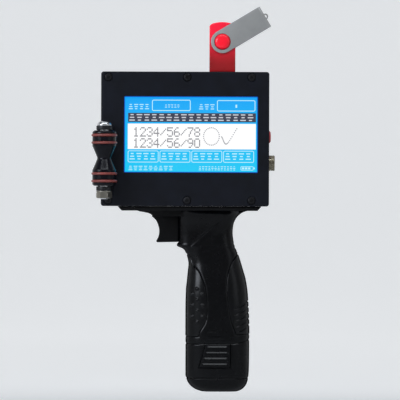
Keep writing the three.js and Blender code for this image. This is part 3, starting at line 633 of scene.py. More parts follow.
# Five by seven dots for each digit and the stroke between them, one row to a number.
DIGITS = {
    "0": (14, 17, 17, 17, 17, 17, 14), "1": (4, 12, 4, 4, 4, 4, 14), "2": (14, 17, 1, 2, 4, 8, 31),
    "3": (14, 17, 1, 6, 1, 17, 14), "4": (2, 6, 10, 18, 31, 2, 2), "5": (31, 16, 30, 1, 1, 17, 14),
    "6": (6, 8, 16, 30, 17, 17, 14), "7": (31, 1, 2, 4, 4, 8, 8), "8": (14, 17, 17, 14, 17, 17, 14),
    "9": (14, 17, 17, 15, 1, 2, 12), "/": (0, 1, 2, 4, 8, 16, 0),
}


def display():
    low, high = span("touch_glass")
    glass = prism("screen_plate", rectangle(low[0], high[0], low[2], high[2], 1, 4), "y", low[1], high[1])
    blue = lit("screen blue", (0.001, 0.37, 0.92), (0.006, 0.58, 0.9), WINDOW_Z)
    piece(rounded(glass, 0.2, 2), "printer", "screen", blue, "touch_glass")

    white = Inlay()
    white.words(3.2, 18.6, 45.2, 48.8, 4)
    white.frame(19.8, 47.4, 44.0, 52.0, 1.2, 0.55)
    white.words(29.0, 40.0, 46.4, 48.6, 5)
    white.words(53.4, 65.4, 45.2, 48.8, 3)
    white.frame(66.2, 93.6, 43.8, 51.8, 1.2, 0.55)
    white.tile(79.4, 80.6, 46.4, 48.6)
    for k in range(4):
        u0 = 2.6 + 22.72 * k
        white.frame(u0, u0 + 22.0, 7.2, 15.7, 1.2, 0.5)
        white.words(u0 + 1.3, u0 + 20.9, 9.3, 13.9, 4)
    white.words(3.2, 35.6, 1.7, 4.7, 9)
    white.words(53.4, 80.0, 1.8, 4.5, 12)
    # A battery gauge with three bars.
    white.frame(83.2, 92.4, 1.7, 4.6, 0.7, 0.4)
    white.tile(92.5, 93.3, 2.5, 3.8)
    for k in range(3):
        white.tile(84.1 + 2.2 * k, 85.8 + 2.2 * k, 2.5, 3.8)
    white.done("screen_lines", "white", (0.5, 0.87, 1.0))
    # A darker blue frame round the window's edge: painted shade, standing for the shade that the window's
    # recess casts on the screen.
    edge = Inlay()
    edge.frame(0, WINDOW[0], 0, WINDOW[1], 0.8, 0.6)
    edge.done("screen_edge_shade", "edge", (0.0, 0.1, 0.55))

    strip = Inlay()
    strip.tile(2.8, 94.0, 36.1, 42.5)
    strip.done("screen_strip", "grey", (0.04, 0.043, 0.07))
    notice = Inlay(2)
    notice.words(3.6, 93.4, 37.0, 41.7, 17)
    notice.done("screen_notice", "notice", (0.62, 0.64, 0.7))
    card = Inlay()
    card.tile(2.6, 94.0, 16.7, 34.9)
    card.done("screen_card", "card", (1.0, 1.0, 1.0))

    # Two printed samples on the card: rows of dot-matrix digits, and a circle beside a tick.
    dots = Inlay(2)
    for text, base in (("1234/56/78", 25.6), ("1234/56/90", 17.7)):
        for i, char in enumerate(text):
            for row, bits in enumerate(DIGITS[char]):
                for col in range(5):
                    if bits >> (4 - col) & 1:
                        u, v = 6.4 + 4.85 * i + 0.86 * col, base + 0.98 * (6 - row)
                        dots.tile(u, u + 0.76, v, v + 0.84)
    dots.done("screen_digits", "digits", (0.14, 0.14, 0.16))
    marks = Inlay(2)
    for turn in all_round(28):
        marks.dot(62.3 + 5.6 * math.cos(turn), 25.9 + 6.2 * math.sin(turn))
    for u, v in curve([(69.6, 25.6), (73.2, 20.6), (80.4, 31.4)], 9):
        marks.dot(u, v)
    marks.done("screen_marks", "marks", (0.36, 0.36, 0.38))


display()

# ------------------------------------------------------------------ side button and connector


def power_button():
    low, high = ends("power_button", "x", HEAD_X[1])
    centre = (HEAD_X[1], *middle("power_button")[1:])
    rim = curve([(4.4, 0.2), (4.25, high * 0.5), (3.6, high * 0.82), (2.4, high * 0.96), (0.3, high)], 5)
    cap = turned("button_cap", [(4.4, low), *rim], "x", centre, 64)
    piece(cap, "button", "red_button", BUTTON_RED, "power_button")


def sensor_connector():
    low, high = ends("sensor_connector", "x", HEAD_X[1])
    centre = (HEAD_X[1], *middle("sensor_connector")[1:])
    threads = []
    for k in range(5):
        h = 0.85 * k - 0.2
        threads += [(5.42, h), (5.68, h + 0.2), (5.68, h + 0.4), (5.42, h + 0.6)]
    profile = [(5.6, low), (5.6, -4.2), (7.4, -4.1), (7.4, -2.7), (5.6, -2.6), (5.6, -0.5), *threads,
               (5.6, high - 0.35), (5.35, high), (4.75, high), (4.5, high - 0.25), (4.5, -1.5), (4.5, low)]
    barrel = turned("connector_barrel", profile, "x", centre, 72, hollow=True)
    nickel = turned_metal("connector nickel", (0.32, 0.29, 0.22), 0.28, "x", 0.5)
    piece(barrel, "printer", "nickel", nickel, "sensor_connector")
    core = turned("connector_core", [(4.2, -1.4), (4.3, -1.3), (4.3, -0.5), (4.2, -0.4)], "x", centre, 48)
    piece(core, "printer", "inner_plastic", INNER_DARK)
    pin_profile = [(0.5, -0.9), (0.5, 2.2), (0.36, 2.5), (0.12, 2.6)]
    for k, spot in enumerate(arc(centre[1:], 2.2, 45, 315, 3)):
        pin = turned(f"connector_pin_{k}", pin_profile, "x", (centre[0], *spot), 20)
        nodes = [] if k else ["connector_insert"]
        piece(pin, "printer", "gold_contacts", GOLD, *nodes)


power_button()
sensor_connector()

# ------------------------------------------------------------------ guide roller

ROLLER = middle("guide_roller")
ROLLER_END = ends("guide_roller", "z", ROLLER[2])[1]
RING_HEIGHTS = [middle(f"roller_o_ring_{i}")[2] - ROLLER[2] for i in range(1, 5)]


def roller():
    radius, waist, groove_radius = 8.5, 5.0, 7.5
    half = [*curve([(waist, 0), (waist + 0.12, 0.7), (waist + 0.62, 1.9), (radius - 0.55, 7.4),
                    (radius - 0.08, 8.3), (radius, 9.0)], 5)]
    for h in RING_HEIGHTS[2:]:
        half += [(radius, h - 1.15), (radius - 0.12, h - 1.03), (groove_radius, h - 0.95),
                 (groove_radius, h + 0.95), (radius - 0.12, h + 1.03), (radius, h + 1.15)]
    end = ROLLER_END
    half += [(radius, end - 1.3), (radius - 0.25, end - 0.8), (radius - 1.15, end - 0.1),
             (radius - 1.4, end), (6.1, end), (6.1, end - 4.2), (3.5, end - 4.2)]
    profile = half + [(r, -h) for r, h in reversed(half)]
    drum = turned("roller_drum", profile, "z", ROLLER, 96, hollow=True)
    anodised = turned_metal("black anodised", (0.002, 0.002, 0.004), 0.2, "z", 0.35, relief=0.006, metal=0.0,
                            specular=0.15)
    piece(drum, "roller", "anodised_roller", anodised, "guide_roller")
    # A ring's section is a circle, cut off where it would reach the floor of its groove.
    section = arc((8.3, 0), 0.95, -120, 120, 12)
    for i, h in enumerate(RING_HEIGHTS, 1):
        ring = turned(f"ring_{i}", section, "z", ROLLER + (0, 0, h), 96, hollow=True, angle=50)
        piece(ring, "roller", "roller_rings", RING_RED, f"roller_o_ring_{i}")
    keep(STEEL, 0.15, "roller_bearing_lower", "roller_bearing_upper")


def roller_bolt():
    tail, top = ends("roller_bolt", "z", ROLLER[2])
    base = top - 3.3
    dome = curve([(5.15, base), (5.2, base + 0.55), (4.75, base + 1.7), (3.7, base + 2.65),
                  (2.3, top - 0.12)], 6)
    bolt = turned("bolt_body", [(2.4, tail), (2.95, tail + 0.6), (2.95, base), *dome], "z", ROLLER, 72)
    cut(bolt, turned("socket", [(2.1, top - 2), (2.1, top + 1)], "z", ROLLER, 6))
    piece(bolt, "printer", "bright_steel", STEEL, "roller_bolt")


def roller_nut():
    """A hexagon with chamfered corners, under a round flange."""
    low, high = ends("roller_nut", "z", ROLLER[2])
    hole = 3.05
    flange = [(hole, high), (5.5, high), (5.68, high - 0.2), (5.68, high - 0.7), (5.5, high - 0.9),
              (hole, high - 0.9)]
    nut = turned("nut_body", flange, "z", ROLLER, 64, hollow=True)
    hexagon = turned("hexagon", [(5.65, low), (5.65, high - 0.85)], "z", ROLLER, 6)
    cone = [(4.7, low), (5.7, low + 0.6), (5.7, high - 1.4), (5.0, high - 0.85)]
    combine(hexagon, "INTERSECT", turned("chamfer", cone, "z", ROLLER, 64))
    cut(hexagon, turned("hole", [(hole, low - 1), (hole, high)], "z", ROLLER, 48))
    combine(nut, "UNION", hexagon)
    piece(nut, "printer", "nickel", NUT_STEEL, "roller_nut")


def bracket():
    """A plate on the head's side, with an arm at each end of the roller."""
    (_, _, low), (_, back, high) = span("roller_bracket")
    head_side, front, tip = HEAD_X[0] - 0.1, PANEL_LOW[1] - 0.3, 5.7
    planform = [(ROLLER[0] + tip, front), *arc(ROLLER[:2], tip, 0, -180, 18),
                (ROLLER[0] - tip, front + 14.3), (head_side, front + 14.3), (head_side, front)]
    frame_body = block("bracket_frame", (ROLLER[0] - 4.8, front, low + 0.6), (head_side, back, high - 0.6))
    for z in (low, high - 3):
        combine(frame_body, "UNION", prism("arm", planform, "z", z, z + 3))
    rounded(frame_body, 0.35, 3)
    cut(frame_body, rod("z", 3.1, low - 1, high + 1, ROLLER[:2]))
    piece(frame_body, "printer", "bracket_metal", BRACKET_BLACK, "roller_bracket")


roller()
roller_bolt()
roller_nut()
bracket()

# ------------------------------------------------------------------ memory stick

PIVOT = middle("usb_pivot_rivet")


def in_stick(obj, tilt=0.0):
    """Moves a piece drawn about the pivot, with Y through it, to where the stick is."""
    obj.data.transform(Matrix.Translation(Vector(PIVOT * MM)) @ Matrix.Rotation(-math.radians(tilt), 4, "Y"))
    return obj


def memory_stick():
    low, high = (corner - PIVOT for corner in span("usb_drive_body"))
    half, thick = (high[0] - low[0]) / 2, (high[1] - low[1]) / 2
    bottom, top = low[2], high[2]
    arch = curve([(half, top - 3.6), (half - 0.25, top - 2.6), (half * 0.72, top - 0.95), (0, top),
                  (-half * 0.72, top - 0.95), (-half + 0.25, top - 2.6), (-half, top - 3.6)], 5)
    body = rounded(prism("stick_body", [(-half, bottom), (half, bottom), *arch], "y", -thick, thick), 0.9, 4)
    # A shallow step across both faces, where the two halves of the body meet the label field.
    outline = rectangle(-half + 1.4, half - 1.4, bottom + 2.2, -8.2, 1.2, 5)
    for side in (-1, 1):
        cut(body, prism("field", outline, "y", *sorted((side * (thick - 0.2), side * (thick + 1)))))
    cut(body, rod("y", 3.0, -thick - 1, thick + 1, (0, 0)))
    piece(in_stick(body), "memory_stick", "red_plastic", STICK_RED, "usb_drive_body")

    depth = ends("usb_pivot_rivet", "y", PIVOT[1])[1]
    dome = curve([(5.5, 4.35), (5.45, 5.4), (4.9, 6.2), (3.4, depth - 0.2), (1.4, depth - 0.02)], 5)
    profile = [*((r, -h) for r, h in reversed(dome)), (2.8, -4.35), (2.8, 4.35), *dome]
    rivet = turned("stick_rivet", profile, "y", (0, 0, 0), 64)
    piece(in_stick(rivet), "memory_stick", "red_plastic", RIVET_RED, "usb_pivot_rivet")
    keep(STEEL, 0.1, "usb_drive_plug")


COVER_TILT = 31  # degrees above +X
COVER_REACH = 35.7
COVER_HALF = 8.2


def stick_cover():
    outer = ends("usb_swivel_cover", "y", PIVOT[1])[1]
    inner = outer - 0.8
    half, end = COVER_HALF, COVER_REACH
    outline = [(end, -half), (end, half), *arc((0, 0), half, 90, 270, 30)]
    sleeve = prism("stick_sleeve", outline, "y", -outer, outer)
    # The sheet is bent round at its far end, so both corners there are arcs.
    bend = rectangle(-half - 5, end, -outer, outer, 1.7, 8)
    combine(sleeve, "INTERSECT", prism("bend", bend, "z", -half - 1, half + 1))
    rounded(sleeve, 0.4, 3)
    cut(sleeve, block("gap", (-half - 1, -inner, -half - 1), (end - 0.8, inner, half + 1)),
        rod("y", 5.9, -9, 9, (0, 0), 64))
    wire = [(1.2, -0.8), (1.2, 0.8), (2.2, 0.8), (2.2, -0.8)]
    loop = rounded(turned("loop", wire, "y", (end, 0, 0), 40, hollow=True), 0.25, 2)
    cut(loop, block("behind", (end - 6, -3, -5), (end - 0.3, 3, 5)))
    combine(sleeve, "UNION", loop)
    piece(in_stick(sleeve, COVER_TILT), "stick_cover", "grey_metal", SLEEVE_GREY, "usb_swivel_cover")


memory_stick()
stick_cover()

# ------------------------------------------------------------------ handle

# Edges of the grip, from the side: (height, place) pairs, and its half thickness.
GRIP_FRONT = [(132, -28.7), (106.6, -28.7), (105.1, -29.4), (104.4, -29.1), (102.4, -24.8), (100, -22.9),
              (95.9, -21.4), (91.5, -20.7), (87.2, -21.1), (80, -21.8), (72.9, -22.5), (58.5, -22.8),
              (11.8, -22.8), (9, -22.1), (5.4, -20.4), (2.2, -16.9), (0.6, -13.4), (0, -11.2)]
GRIP_REAR = [(132, 26.5), (130.2, 24), (129.4, 20), (127.4, 16.2), (123.9, 13.1), (119.6, 11.4), (114, 10.9),
             (109, 11.4), (104.5, 12.4), (100.2, 14.2), (95.1, 16), (87.2, 18.4), (80, 20.4), (71.4, 21.7),
             (58.5, 22.6), (47.7, 23), (33.4, 23.1), (18.6, 23), (11.1, 22.6), (5.4, 21.3), (2.2, 18.9),
             (0.6, 16.4), (0, 14.6)]
GRIP_HALF = [(132, 25.2), (130.2, 23.6), (129, 21.2), (127.4, 19.2), (123.9, 17.2), (119.6, 16.2),
             (112.6, 15.8), (105.6, 15.9), (99, 16.5), (92, 17.7), (85, 19.2), (77, 20.5), (68, 21.2),
             (56, 21.4), (26, 21.3), (11.5, 21), (5.4, 19.6), (2.2, 17.1), (0.6, 14.5), (0, 12.7)]
GRIP_WALL = 2.0
# Edges of the pads, from the side, from the top down.
FRONT_PAD = [(98.6, -20.3), (96.5, -19.6), (93.5, -18.4), (90, -16.6), (87.4, -14.0), (84, -11.9),
             (80, -10.2), (73, -8.0), (66, -7.2), (59, -7.0), (52, -7.7), (47.5, -9.4), (44, -11.8),
             (42, -12.8), (39.4, -13.1)]
REAR_PAD = [(99.4, 15.2), (96.5, 12.6), (93, 10.4), (88.5, 8.4), (84, 7.2), (79, 6.6), (73, 6.7), (66, 7.4),
            (56, 8.9), (50, 10.2), (45, 12.0), (41, 13.6)]


def grip_points(turn, z, inset=0.0, boxy=None):
    """Points of the grip's surface at angles round it and heights."""
    front, rear, half = (eased(t, z) for t in (GRIP_FRONT, GRIP_REAR, GRIP_HALF))
    power = boxy if boxy else 3.0 + 0.6 * smoothstep(88, 106, z)
    a, b = (rear - front) / 2 - inset, half - inset
    c, s = np.cos(turn), np.sin(turn)
    radius = (np.abs(c / a) ** power + np.abs(s / b) ** power) ** (-1 / power)
    return along("z", z, (front + rear) / 2 + radius * c, radius * s)


def turn_at(fan, x, z):
    """Angles, found along a fan of them, at which the grip's surface reaches places x at heights z."""
    reach = grip_points(fan, z[:, None])[..., 0]
    return np.stack([np.interp(-place, -row, fan) for place, row in zip(x, reach)])


def displaced(points, relief, closed=False):
    """A grid of points, whose columns go round the grip, moved outwards by a relief."""
    up = np.gradient(points, axis=0)
    if closed:
        wrapped = np.concatenate([points[:, -1:], points, points[:, :1]], 1)
        beside = (wrapped[:, 2:] - wrapped[:, :-2]) / 2
    else:
        beside = np.gradient(points, axis=1)
    normal = np.cross(beside, up)
    normal /= np.maximum(np.linalg.norm(normal, axis=-1, keepdims=True), 1e-9)
    out = ((points - points.mean(axis=(0, 1))) * normal)[..., :2].sum(-1).mean()
    return points + np.sign(out) * normal * np.asarray(relief)[..., None]


def outside_pad(table, x, z, sign):
    """Distance outside a pad's outline, in side view; sign is +1 for a pad on the low-X side."""
    slope = eased(table, z + 0.5) - eased(table, z - 0.5)
    beside = sign * (x - eased(table, z)) / np.sqrt(1 + slope ** 2)
    return np.maximum(np.maximum(beside, z - table[0][0]), table[-1][0] - z)


def groove(distance, width, depth):
    return -depth * np.exp(-((distance / width) ** 2))


def ledge(rise):
    """A rib's section: a slope that faces up, over a sharp lower edge."""
    return np.clip((0.75 - rise) / 1.2, 0, 1) * smoothstep(-0.75, -0.45, rise)


def seam_height(x):
    """Where the handle's shells end above the battery: level, then rising to the rear."""
    return 34.6 + np.clip(x - 12, 0, 20) * 0.25


def segment_distance(x, z, start, end):
    """Distance from a straight line between two points, and the signed distance beside it."""
    length = math.dist(start, end)
    ux, uz = (end[0] - start[0]) / length, (end[1] - start[1]) / length
    ahead = (x - start[0]) * ux + (z - start[1]) * uz
    side = (x - start[0]) * -uz + (z - start[1]) * ux
    past = np.maximum(np.maximum(-ahead, ahead - length), 0)
    return np.hypot(side, past), side


SEAM = 0.06  # half the gap between the handle's two halves
SHORT_RIBS = [(43.2, -6.7, -1.4), (38.6, -6.7, 4.5)]
CREASE = ((4.4, 125.5), (-19.5, 104.8))


def shell_relief(x, y, z):
    """How far the moulded shell stands off the plain grip surface."""
    relief = np.zeros_like(x)
    for table, sign in ((FRONT_PAD, 1), (REAR_PAD, -1)):
        d = outside_pad(table, x, z, sign)
        relief -= 0.4 * smoothstep(0.6, 0.0, d) ** 1.5 + 0.9 * smoothstep(-0.4, -1.1, d)
    for height, x0, x1 in SHORT_RIBS:
        window = smoothstep(x0 - 0.3, x0 + 0.6, x) * smoothstep(x1 + 0.3, x1 - 0.6, x)
        relief += 0.5 * window * ledge(z - height)
    distance, side = segment_distance(x, z, *CREASE)
    relief += groove(distance, 0.6, 0.3)
    relief += 0.2 * smoothstep(0.2, 1.4, side) * smoothstep(13, 4, side) * smoothstep(9, 3, distance)
    for k in range(3):
        fold = z - (103.0 + 2.3 * k - 0.09 * np.clip(x - 6, 0, 12) ** 1.6)
        relief += groove(fold, 0.45, 0.28) * smoothstep(8.5, 11.5, x) * smoothstep(99.9, 100.8, z)
    relief -= 0.45 * smoothstep(0.8, 0.0, z - seam_height(x))
    relief -= 0.3 * smoothstep(0.55, 0.0, np.abs(y))
    return relief


def pad_relief(table, sign, x, y, z):
    depth = -outside_pad(table, x, z, sign)
    relief = 0.15 - 0.75 * smoothstep(0.9, 0.0, depth) ** 1.4
    inside = smoothstep(1.6, 3.0, depth)
    if sign > 0:
        # Pips on a staggered lattice, over the middle of each cheek.
        pitch_x, pitch_z, radius = 8.0, 4.0, 1.35
        row = np.round((z - 50) / pitch_z)
        along_x = x + 18.5 - np.where(row % 2 == 0, pitch_x / 2, 0.0)
        off = np.hypot(along_x - np.round(along_x / pitch_x) * pitch_x, z - 50 - row * pitch_z)
        wanted = (row >= 0) & (row <= 6) & (x > -20.3) & (np.abs(y) > 9)
        relief += np.where(wanted, 0.65 * np.clip(1 - (off / radius) ** 2, 0, 1) ** 0.8, 0) * inside
    else:
        for k in range(5):
            line = 42.0 + 4.4 * k + 0.03 * np.clip(x - 9, 0, 20) ** 2
            relief += groove(z - line, 0.6, 0.6) * inside * smoothstep(11.5, 14, x)
    return relief


def shell_half(name, sign):
    """One moulded half of the handle: sign is the side of Y that it is on."""
    start = 0 if sign > 0 else math.pi
    turn = np.linspace(start, start + math.pi, 120)
    turn[[0, -1]] += (0.0016, -0.0016)
    low, high = seam_height(grip_points(turn, 36.0)[..., 0]), 131.2
    z = low + (high - low) * np.linspace(0, 1, 176)[:, None]
    points = grip_points(turn, z)
    outer = displaced(points, shell_relief(*np.moveaxis(points, -1, 0)))
    inner = grip_points(turn, z, GRIP_WALL)
    for grid in (outer, inner):
        grid[..., 1] = sign * np.maximum(sign * grid[..., 1], SEAM)
    return skin(name, outer, inner, False)


def flange_half(sign):
    """The plate and lip that carry the head, on one side of Y."""
    (low_x, _, _), (high_x, _, top) = span("handle_shell_front")
    plate = [(low_x, top), (low_x + 2.9, top - 3.1), (high_x - 2.8, top - 3.1), (high_x, top)]
    lip = [*curve([(-60, 131.2), (-56.6, 129.4), (-52.4, 128.6), (-49.4, 127.9), (-47.4, 126.8),
                   (-46.4, 125.7)], 5), (-24, 125.7), (-24, 131.5), (-60, 131.5)]
    return (rounded(prism("plate", plate, "y", *sorted((sign * SEAM, sign * 26))), 0.5, 3),
            rounded(prism("lip", lip, "y", *sorted((sign * SEAM, sign * 15.8))), 0.9, 4, 50))


def handle():
    half_slot, slot_bottom, slot_top = 7.8, span("trigger")[0][2] - 0.2, 126.6
    for name, sign in (("front", -1), ("rear", 1)):
        half = shell_half(f"grip_half_{name}", sign)
        combine(half, "UNION", *flange_half(sign), solver="MANIFOLD")
        cutters = [block("slot", (-34, -half_slot, slot_bottom), (-24, half_slot, slot_top)),
                   block("channel", (-55, -half_slot, 120), (-30, half_slot, slot_top))]
        if sign > 0:
            for i in range(1, 5):
                x, _, z = middle(f"handle_screw_{i}")
                cutters.append(rod("y", 3.0, ends(f"handle_screw_{i}", "y")[1] - 1.7, 40, (x, z), 40))
        for i in range(1, 5):
            x, y, _ = middle(f"flange_screw_{i}")
            if y * sign > 0:
                cutters.append(rod("z", 3.0, 125, ends(f"flange_screw_{i}", "z")[0] + 1.7, (x, y), 40))
        cut(half, *cutters, solver="MANIFOLD")
        piece(half, "printer", "handle_plastic", GRIP_BLACK, f"handle_shell_{name}")


def pad(name, table, sign):
    """A rubber pad that wraps round the front (sign +1) or the rear (sign -1) of the grip."""
    z = np.linspace(table[-1][0] + 0.1, table[0][0] - 0.1, 220)
    limit = turn_at(np.linspace(0, math.pi, 721), eased(table, z) - sign * 0.12, z)[:, None]
    spread = np.linspace(-1, 1, 220)
    share = 0.5 + 0.5 * np.sign(spread) * np.abs(spread) ** 0.8
    whole = 2 * math.pi if sign > 0 else 0
    points = grip_points(sign * limit + (whole - sign * 2 * limit) * share, z[:, None])
    outer = displaced(points, pad_relief(table, sign, *np.moveaxis(points, -1, 0)))
    obj = skin(f"pad_{name}", outer, displaced(points, -1.0), False, 50)
    piece(obj, "printer", "grip_rubber", PAD_BLACK, f"grip_pad_{name}")


def trigger():
    (_, keeper_low, _), (end, keeper_high, top) = span("trigger")
    face = curve([(-47.3, top - 0.5), (-44.4, 123.0), (-42.6, 119.0), (-41.9, 115.0), (-42.5, 111.2),
                  (-43.6, 109.0), (-44.0, 107.7), (-43.2, 107.0)], 6)
    outline = [(-28.4, top), (-47.2, top), *face, (-28.4, 107.3)]
    lever = rounded(prism("trigger_lever", outline, "y", -7.4, 7.4), 0.9, 4, 50)
    combine(lever, "UNION", block("stem", (-29, -6.9, 107.7), (end, 6.9, top - 0.2)),
            block("keeper", (-25.7, keeper_low, 107.7), (-22.8, keeper_high, 125.6)))
    piece(lever, "trigger_lever", "handle_plastic", TRIGGER_BLACK, "trigger")


def trigger_spring():
    low, high = ends("trigger_spring", "x")
    _, y, z = middle("trigger_spring")
    turns, radius, wire = 4, 2.75, 0.42
    share = np.linspace(0, 1, turns * 28 + 1)[:, None]
    angle = share * turns * 2 * math.pi
    reach = radius + wire * np.cos(all_round(8))
    x = low + wire + share * (high - low - 2 * wire) + wire * np.sin(all_round(8))
    spring = loft("spring_coil", along("x", x, y + reach * np.cos(angle), z + reach * np.sin(angle)))
    piece(spring, "printer", "bright_steel", STEEL, "trigger_spring")
    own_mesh(spring)


handle()
pad("front", FRONT_PAD, 1)
pad("rear", REAR_PAD, -1)
trigger()
trigger_spring()

# ------------------------------------------------------------------ battery

LATCH = [(-13.8, 16.9), (9.9, 16.9), (9.9, 36.0), (-8.2, 36.0)]
LATCH_RIBS = [(20.0, -10.7), (24.1, -9.6), (28.2, -8.0), (32.4, -7.0)]
LATCH_GAP = 0.35
STEM_INSET = 2.3


def latch_holes():
    return [prism("latch_hole", LATCH, "y", *sides) for sides in ((-40, -12), (12, 40))]


def battery_housing():
    low, high = ends("battery_housing", "z")
    turn = all_round(240)
    join = seam_height(grip_points(turn, 34.0)[..., 0]) - 0.3
    points = grip_points(turn, low + (join - low) * np.linspace(0, 1, 64)[:, None])
    x, _, z = np.moveaxis(points, -1, 0)
    relief = -0.45 * smoothstep(0.8, 0.0, seam_height(x) - 0.3 - z) - 0.35 * smoothstep(0.7, 0.0, z - low)
    wall = skin("battery_skin", displaced(points, relief, True), grip_points(turn, z, GRIP_WALL), True)
    cut(wall, *latch_holes(), solver="MANIFOLD")
    # The stem that goes up into the handle, and the tower with three contact slots on top of it.
    top = high - 8
    levels = [31.0, 33.0, *np.linspace(36, top - 1.2, 14), top - 0.5, top - 0.15, top]
    insets = [STEM_INSET] * 16 + [2.55, 3.0, 3.6]
    stem = loft("stem", [grip_points(turn, z, inset, 4) for z, inset in zip(levels, insets)])
    cut(stem, *latch_holes(), solver="MANIFOLD")
    combine(wall, "UNION", stem, solver="MANIFOLD")
    tower = rounded(block("tower", (-8, -6, top - 1), (8, 6, high)), 0.6, 3)
    cut(tower, *(block("contact_slot", (x - 1, -3, top + 2), (x + 1, 3, top + 9)) for x in (-5, 0, 5)))
    combine(wall, "UNION", tower)
    piece(wall, "battery", "handle_plastic", GRIP_BLACK, "battery_housing")


def battery_cap():
    turn = all_round(240)
    _, top = ends("battery_cap", "z")
    levels = [0, 0.08, 0.25, 0.6, 1.1, 1.7, 2.4, 3.3, 4.3, 5.4, 6.6, 7.8, 8.8, 9.1, 9.35, top]
    insets = [0.0] * 13 + [0.08, 0.2, 0.42]
    foot = loft("battery_foot", [grip_points(turn, z, inset) for z, inset in zip(levels, insets)], 50)
    # A shallow recess under the base leaves a rim for the tool to stand on.
    recess = prism("recess", rectangle(-7.5, 11, -8.5, 8.5, 5, 10), "z", -1, 0.6)
    cut(foot, rounded(recess, 0.2, 2), loft("hollow", [grip_points(turn, z, 2.6, 4) for z in (5.5, 12.0)]))
    piece(foot, "battery", "handle_plastic", GRIP_BLACK, "battery_cap")


def latch(name, sign):
    """The press-in tongue on one side of the battery, with its four ribs."""
    (low_left, bottom), (right, _), _, (high_left, top) = LATCH
    low, high = bottom + LATCH_GAP, 34.3
    z = np.linspace(low, high, 120)
    left = low_left + LATCH_GAP + (z[:, None] - bottom) * (high_left - low_left) / (top - bottom)
    right -= LATCH_GAP
    x = left + (right - left) * np.linspace(0, 1, 120)
    turn = turn_at(np.linspace(0.3, math.pi - 0.3, 901), x, z)
    z = z[:, None]
    points = grip_points(turn, z)
    edge = np.minimum(np.minimum(x - left, right - x), np.minimum(z - low, high - z))
    relief = -0.1 - 0.35 * smoothstep(0.6, 0.0, edge)
    for height, start in LATCH_RIBS:
        window = smoothstep(start - 0.3, start + 0.7, x) * smoothstep(7.6, 6.6, x)
        relief += 0.7 * window * ledge(z - height)
    outer, inner = (displaced(points, depth) * (1, sign, 1) for depth in (relief, -1.9))
    obj = skin(f"tongue_{name}", outer, inner, False, 50)
    piece(obj, f"{name}_latch", "handle_plastic", GRIP_BLACK, f"latch_{name}")


battery_housing()
battery_cap()
latch("front", -1)
latch("rear", 1)

# ------------------------------------------------------------------ inner parts


def cartridge():
    """The ink cartridge: a shell with two seams, finger ribs, a plain label and a snout."""
    (snout_end, front, bottom), (right, rear, top) = span("ink_cartridge")
    left = -71.0
    body = prism("cartridge_body", rectangle(left, right, bottom, top, 2.5, 6), "y", front, rear)
    rounded(body, 0.9, 3)
    for y in (5.0, rear - 4.5):
        seam = prism("seam", rectangle(left - 2, right + 2, bottom - 2, top + 2), "y", y - 0.2, y + 0.2)
        core = rectangle(left + 0.4, right - 0.4, bottom + 0.4, top - 0.4, 2.1, 6)
        cut(seam, prism("core", core, "y", y - 1, y + 1))
        cut(body, seam)
    x0, x1, z0, z1 = left + 6, right - 11, bottom + 8, top - 8
    cut(body, prism("field", rectangle(x0, x1, z0, z1, 2, 5), "y", rear - 0.4, rear + 1))
    for k in range(7):
        z = bottom + 15.5 + 6 * k
        rib = rectangle(right - 8.5, right - 2.5, z - 0.9, z + 0.9, 0.85, 4)
        combine(body, "UNION", rounded(prism("rib", rib, "y", rear - 0.5, rear + 0.6), 0.3, 2))
    snout = block("snout", (snout_end, 3, SNOUT_Z[0]), (left + 1, 24.6, SNOUT_Z[1]))
    combine(body, "UNION", rounded(snout, 0.8, 3))
    piece(body, "printer", "cartridge_shell", CARTRIDGE_DARK, "ink_cartridge")
    x0, x1 = x0 + 0.5, x1 - 0.5
    outline = rectangle(x0, x1, z0 + 0.5, z1 - 0.5, 1.6, 5)
    label = prism("cartridge_label", outline, "y", rear - 0.45, rear - 0.2)
    piece(label, "printer", "cartridge_shell", LABEL_PAPER)
    band = prism("cartridge_band", rectangle(x0, x1, z0 + 9, z0 + 20), "y", rear - 0.3, rear - 0.16)
    piece(band, "printer", "cartridge_shell", LABEL_BAND)


cartridge()
keep(INNER_DARK, 0.3, "display_module", "cartridge_carrier", "power_switch", "trigger_switch")
keep(GOLD, 0, "nozzle_plate", "contact_block")
keep(BOARD_GREEN, 0.15, "control_board")
keep(STEEL, 0.15, "usb_socket")
keep(CELL_SLEEVE, 0.4, "battery_cell_1", "battery_cell_2", "battery_cell_3")

# ------------------------------------------------------------------ studio


def studio_surface():
    """Pale paint that glows with distance, most of it behind the tool, so that it has no edge."""
    mat = grained("pale floor", (0.66, 0.67, 0.68), 0.85, grain=30, relief=0.01, spread=0.02)
    place = axes(mat)
    flat = add(mat, "CombineXYZ", {axis: place[axis] for axis in "XY"})
    distance = add(mat, "VectorMath", {0: flat.outputs["Vector"]}, operation="LENGTH").outputs["Value"]
    strength = add(mat, "Math", {
        0: ramp(mat, distance, (0.5, 1.5), smooth=True),
        1: ramp(mat, place["Y"], (-2.0, 2.5), (0.14, 0.45), smooth=True),
    }, operation="MULTIPLY")
    feed(mat, mat.node_tree.nodes["Principled BSDF"], {
        "Emission Color": (0.97, 0.985, 1.0, 1),
        "Emission Strength": strength.outputs["Value"],
    })
    return mat


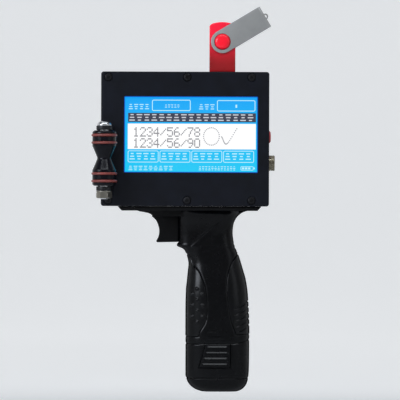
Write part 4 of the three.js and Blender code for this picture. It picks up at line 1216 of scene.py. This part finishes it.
def backdrop():
    """A round pale floor that bends up into a wall on every side."""
    floor_z, flat, bend, top = -60.0, 3000.0, 1500.0, 3500.0
    profile = [(400.0, floor_z), (1500.0, floor_z), *arc((flat, floor_z + bend), bend, -90, 0, 12),
               (flat + bend, top)]
    turn = all_round(96)
    rings = [along("z", z, r * np.cos(turn), r * np.sin(turn)) for r, z in profile]
    faces = quads(len(rings), len(turn), True) + [list(range(len(turn)))]
    obj = made("studio_floor", np.concatenate(rings), faces, 60)
    obj.data.materials.append(studio_surface())


TOOL_MIDDLE = Vector((-0.01, 0, 0.13))


def lamp(name, place, size, power, colour=(0.88, 0.94, 1.0)):
    """A rectangular lamp that points at the tool's middle."""
    data = bpy.data.lights.new(name, "AREA")
    data.shape = "RECTANGLE"
    data.size, data.size_y = size
    data.energy = power
    data.color = colour
    obj = added(name, data)
    obj.location = place
    obj.rotation_euler = (TOOL_MIDDLE - Vector(place)).to_track_quat("-Z", "Y").to_euler()
    obj.visible_camera = False


def studio():
    scene = bpy.context.scene
    scene.world = bpy.data.worlds.new("studio")
    scene.world.use_nodes = True
    sky = scene.world.node_tree.nodes["Background"].inputs
    sky["Color"].default_value = (0.92, 0.95, 1.0, 1)
    sky["Strength"].default_value = 0.16
    scene.view_settings.view_transform = "Standard"
    lamp("window", (-0.95, -0.76, 0.5), (0.55, 0.5), 9.5, (0.85, 0.91, 1.0))
    lamp("bar", (0.0, -0.75, 1.2), (1.5, 0.22), 10.5)
    lamp("fill", (1.1, -1.0, 0.5), (0.6, 0.9), 1.5)
    lamp("top", (0.0, 0.3, 1.5), (1.2, 0.8), 5)


def camera():
    """A long lens, square on to the screen and rolled a little, that takes in the whole tool."""
    distance, view_width = 3.0, 0.2872
    data = bpy.data.cameras.new("camera")
    data.sensor_width = 36
    data.lens = data.sensor_width * distance / view_width
    data.clip_end = 40
    obj = added("camera", data)
    obj.location = (-0.0127, PANEL_LOW[1] * MM / 3 - distance, 0.1375)
    roll = Matrix.Rotation(math.radians(-0.2), 4, "Y")
    obj.rotation_euler = (roll @ Matrix.Rotation(math.pi / 2, 4, "X")).to_euler()
    bpy.context.scene.camera = obj


backdrop()
studio()
camera()
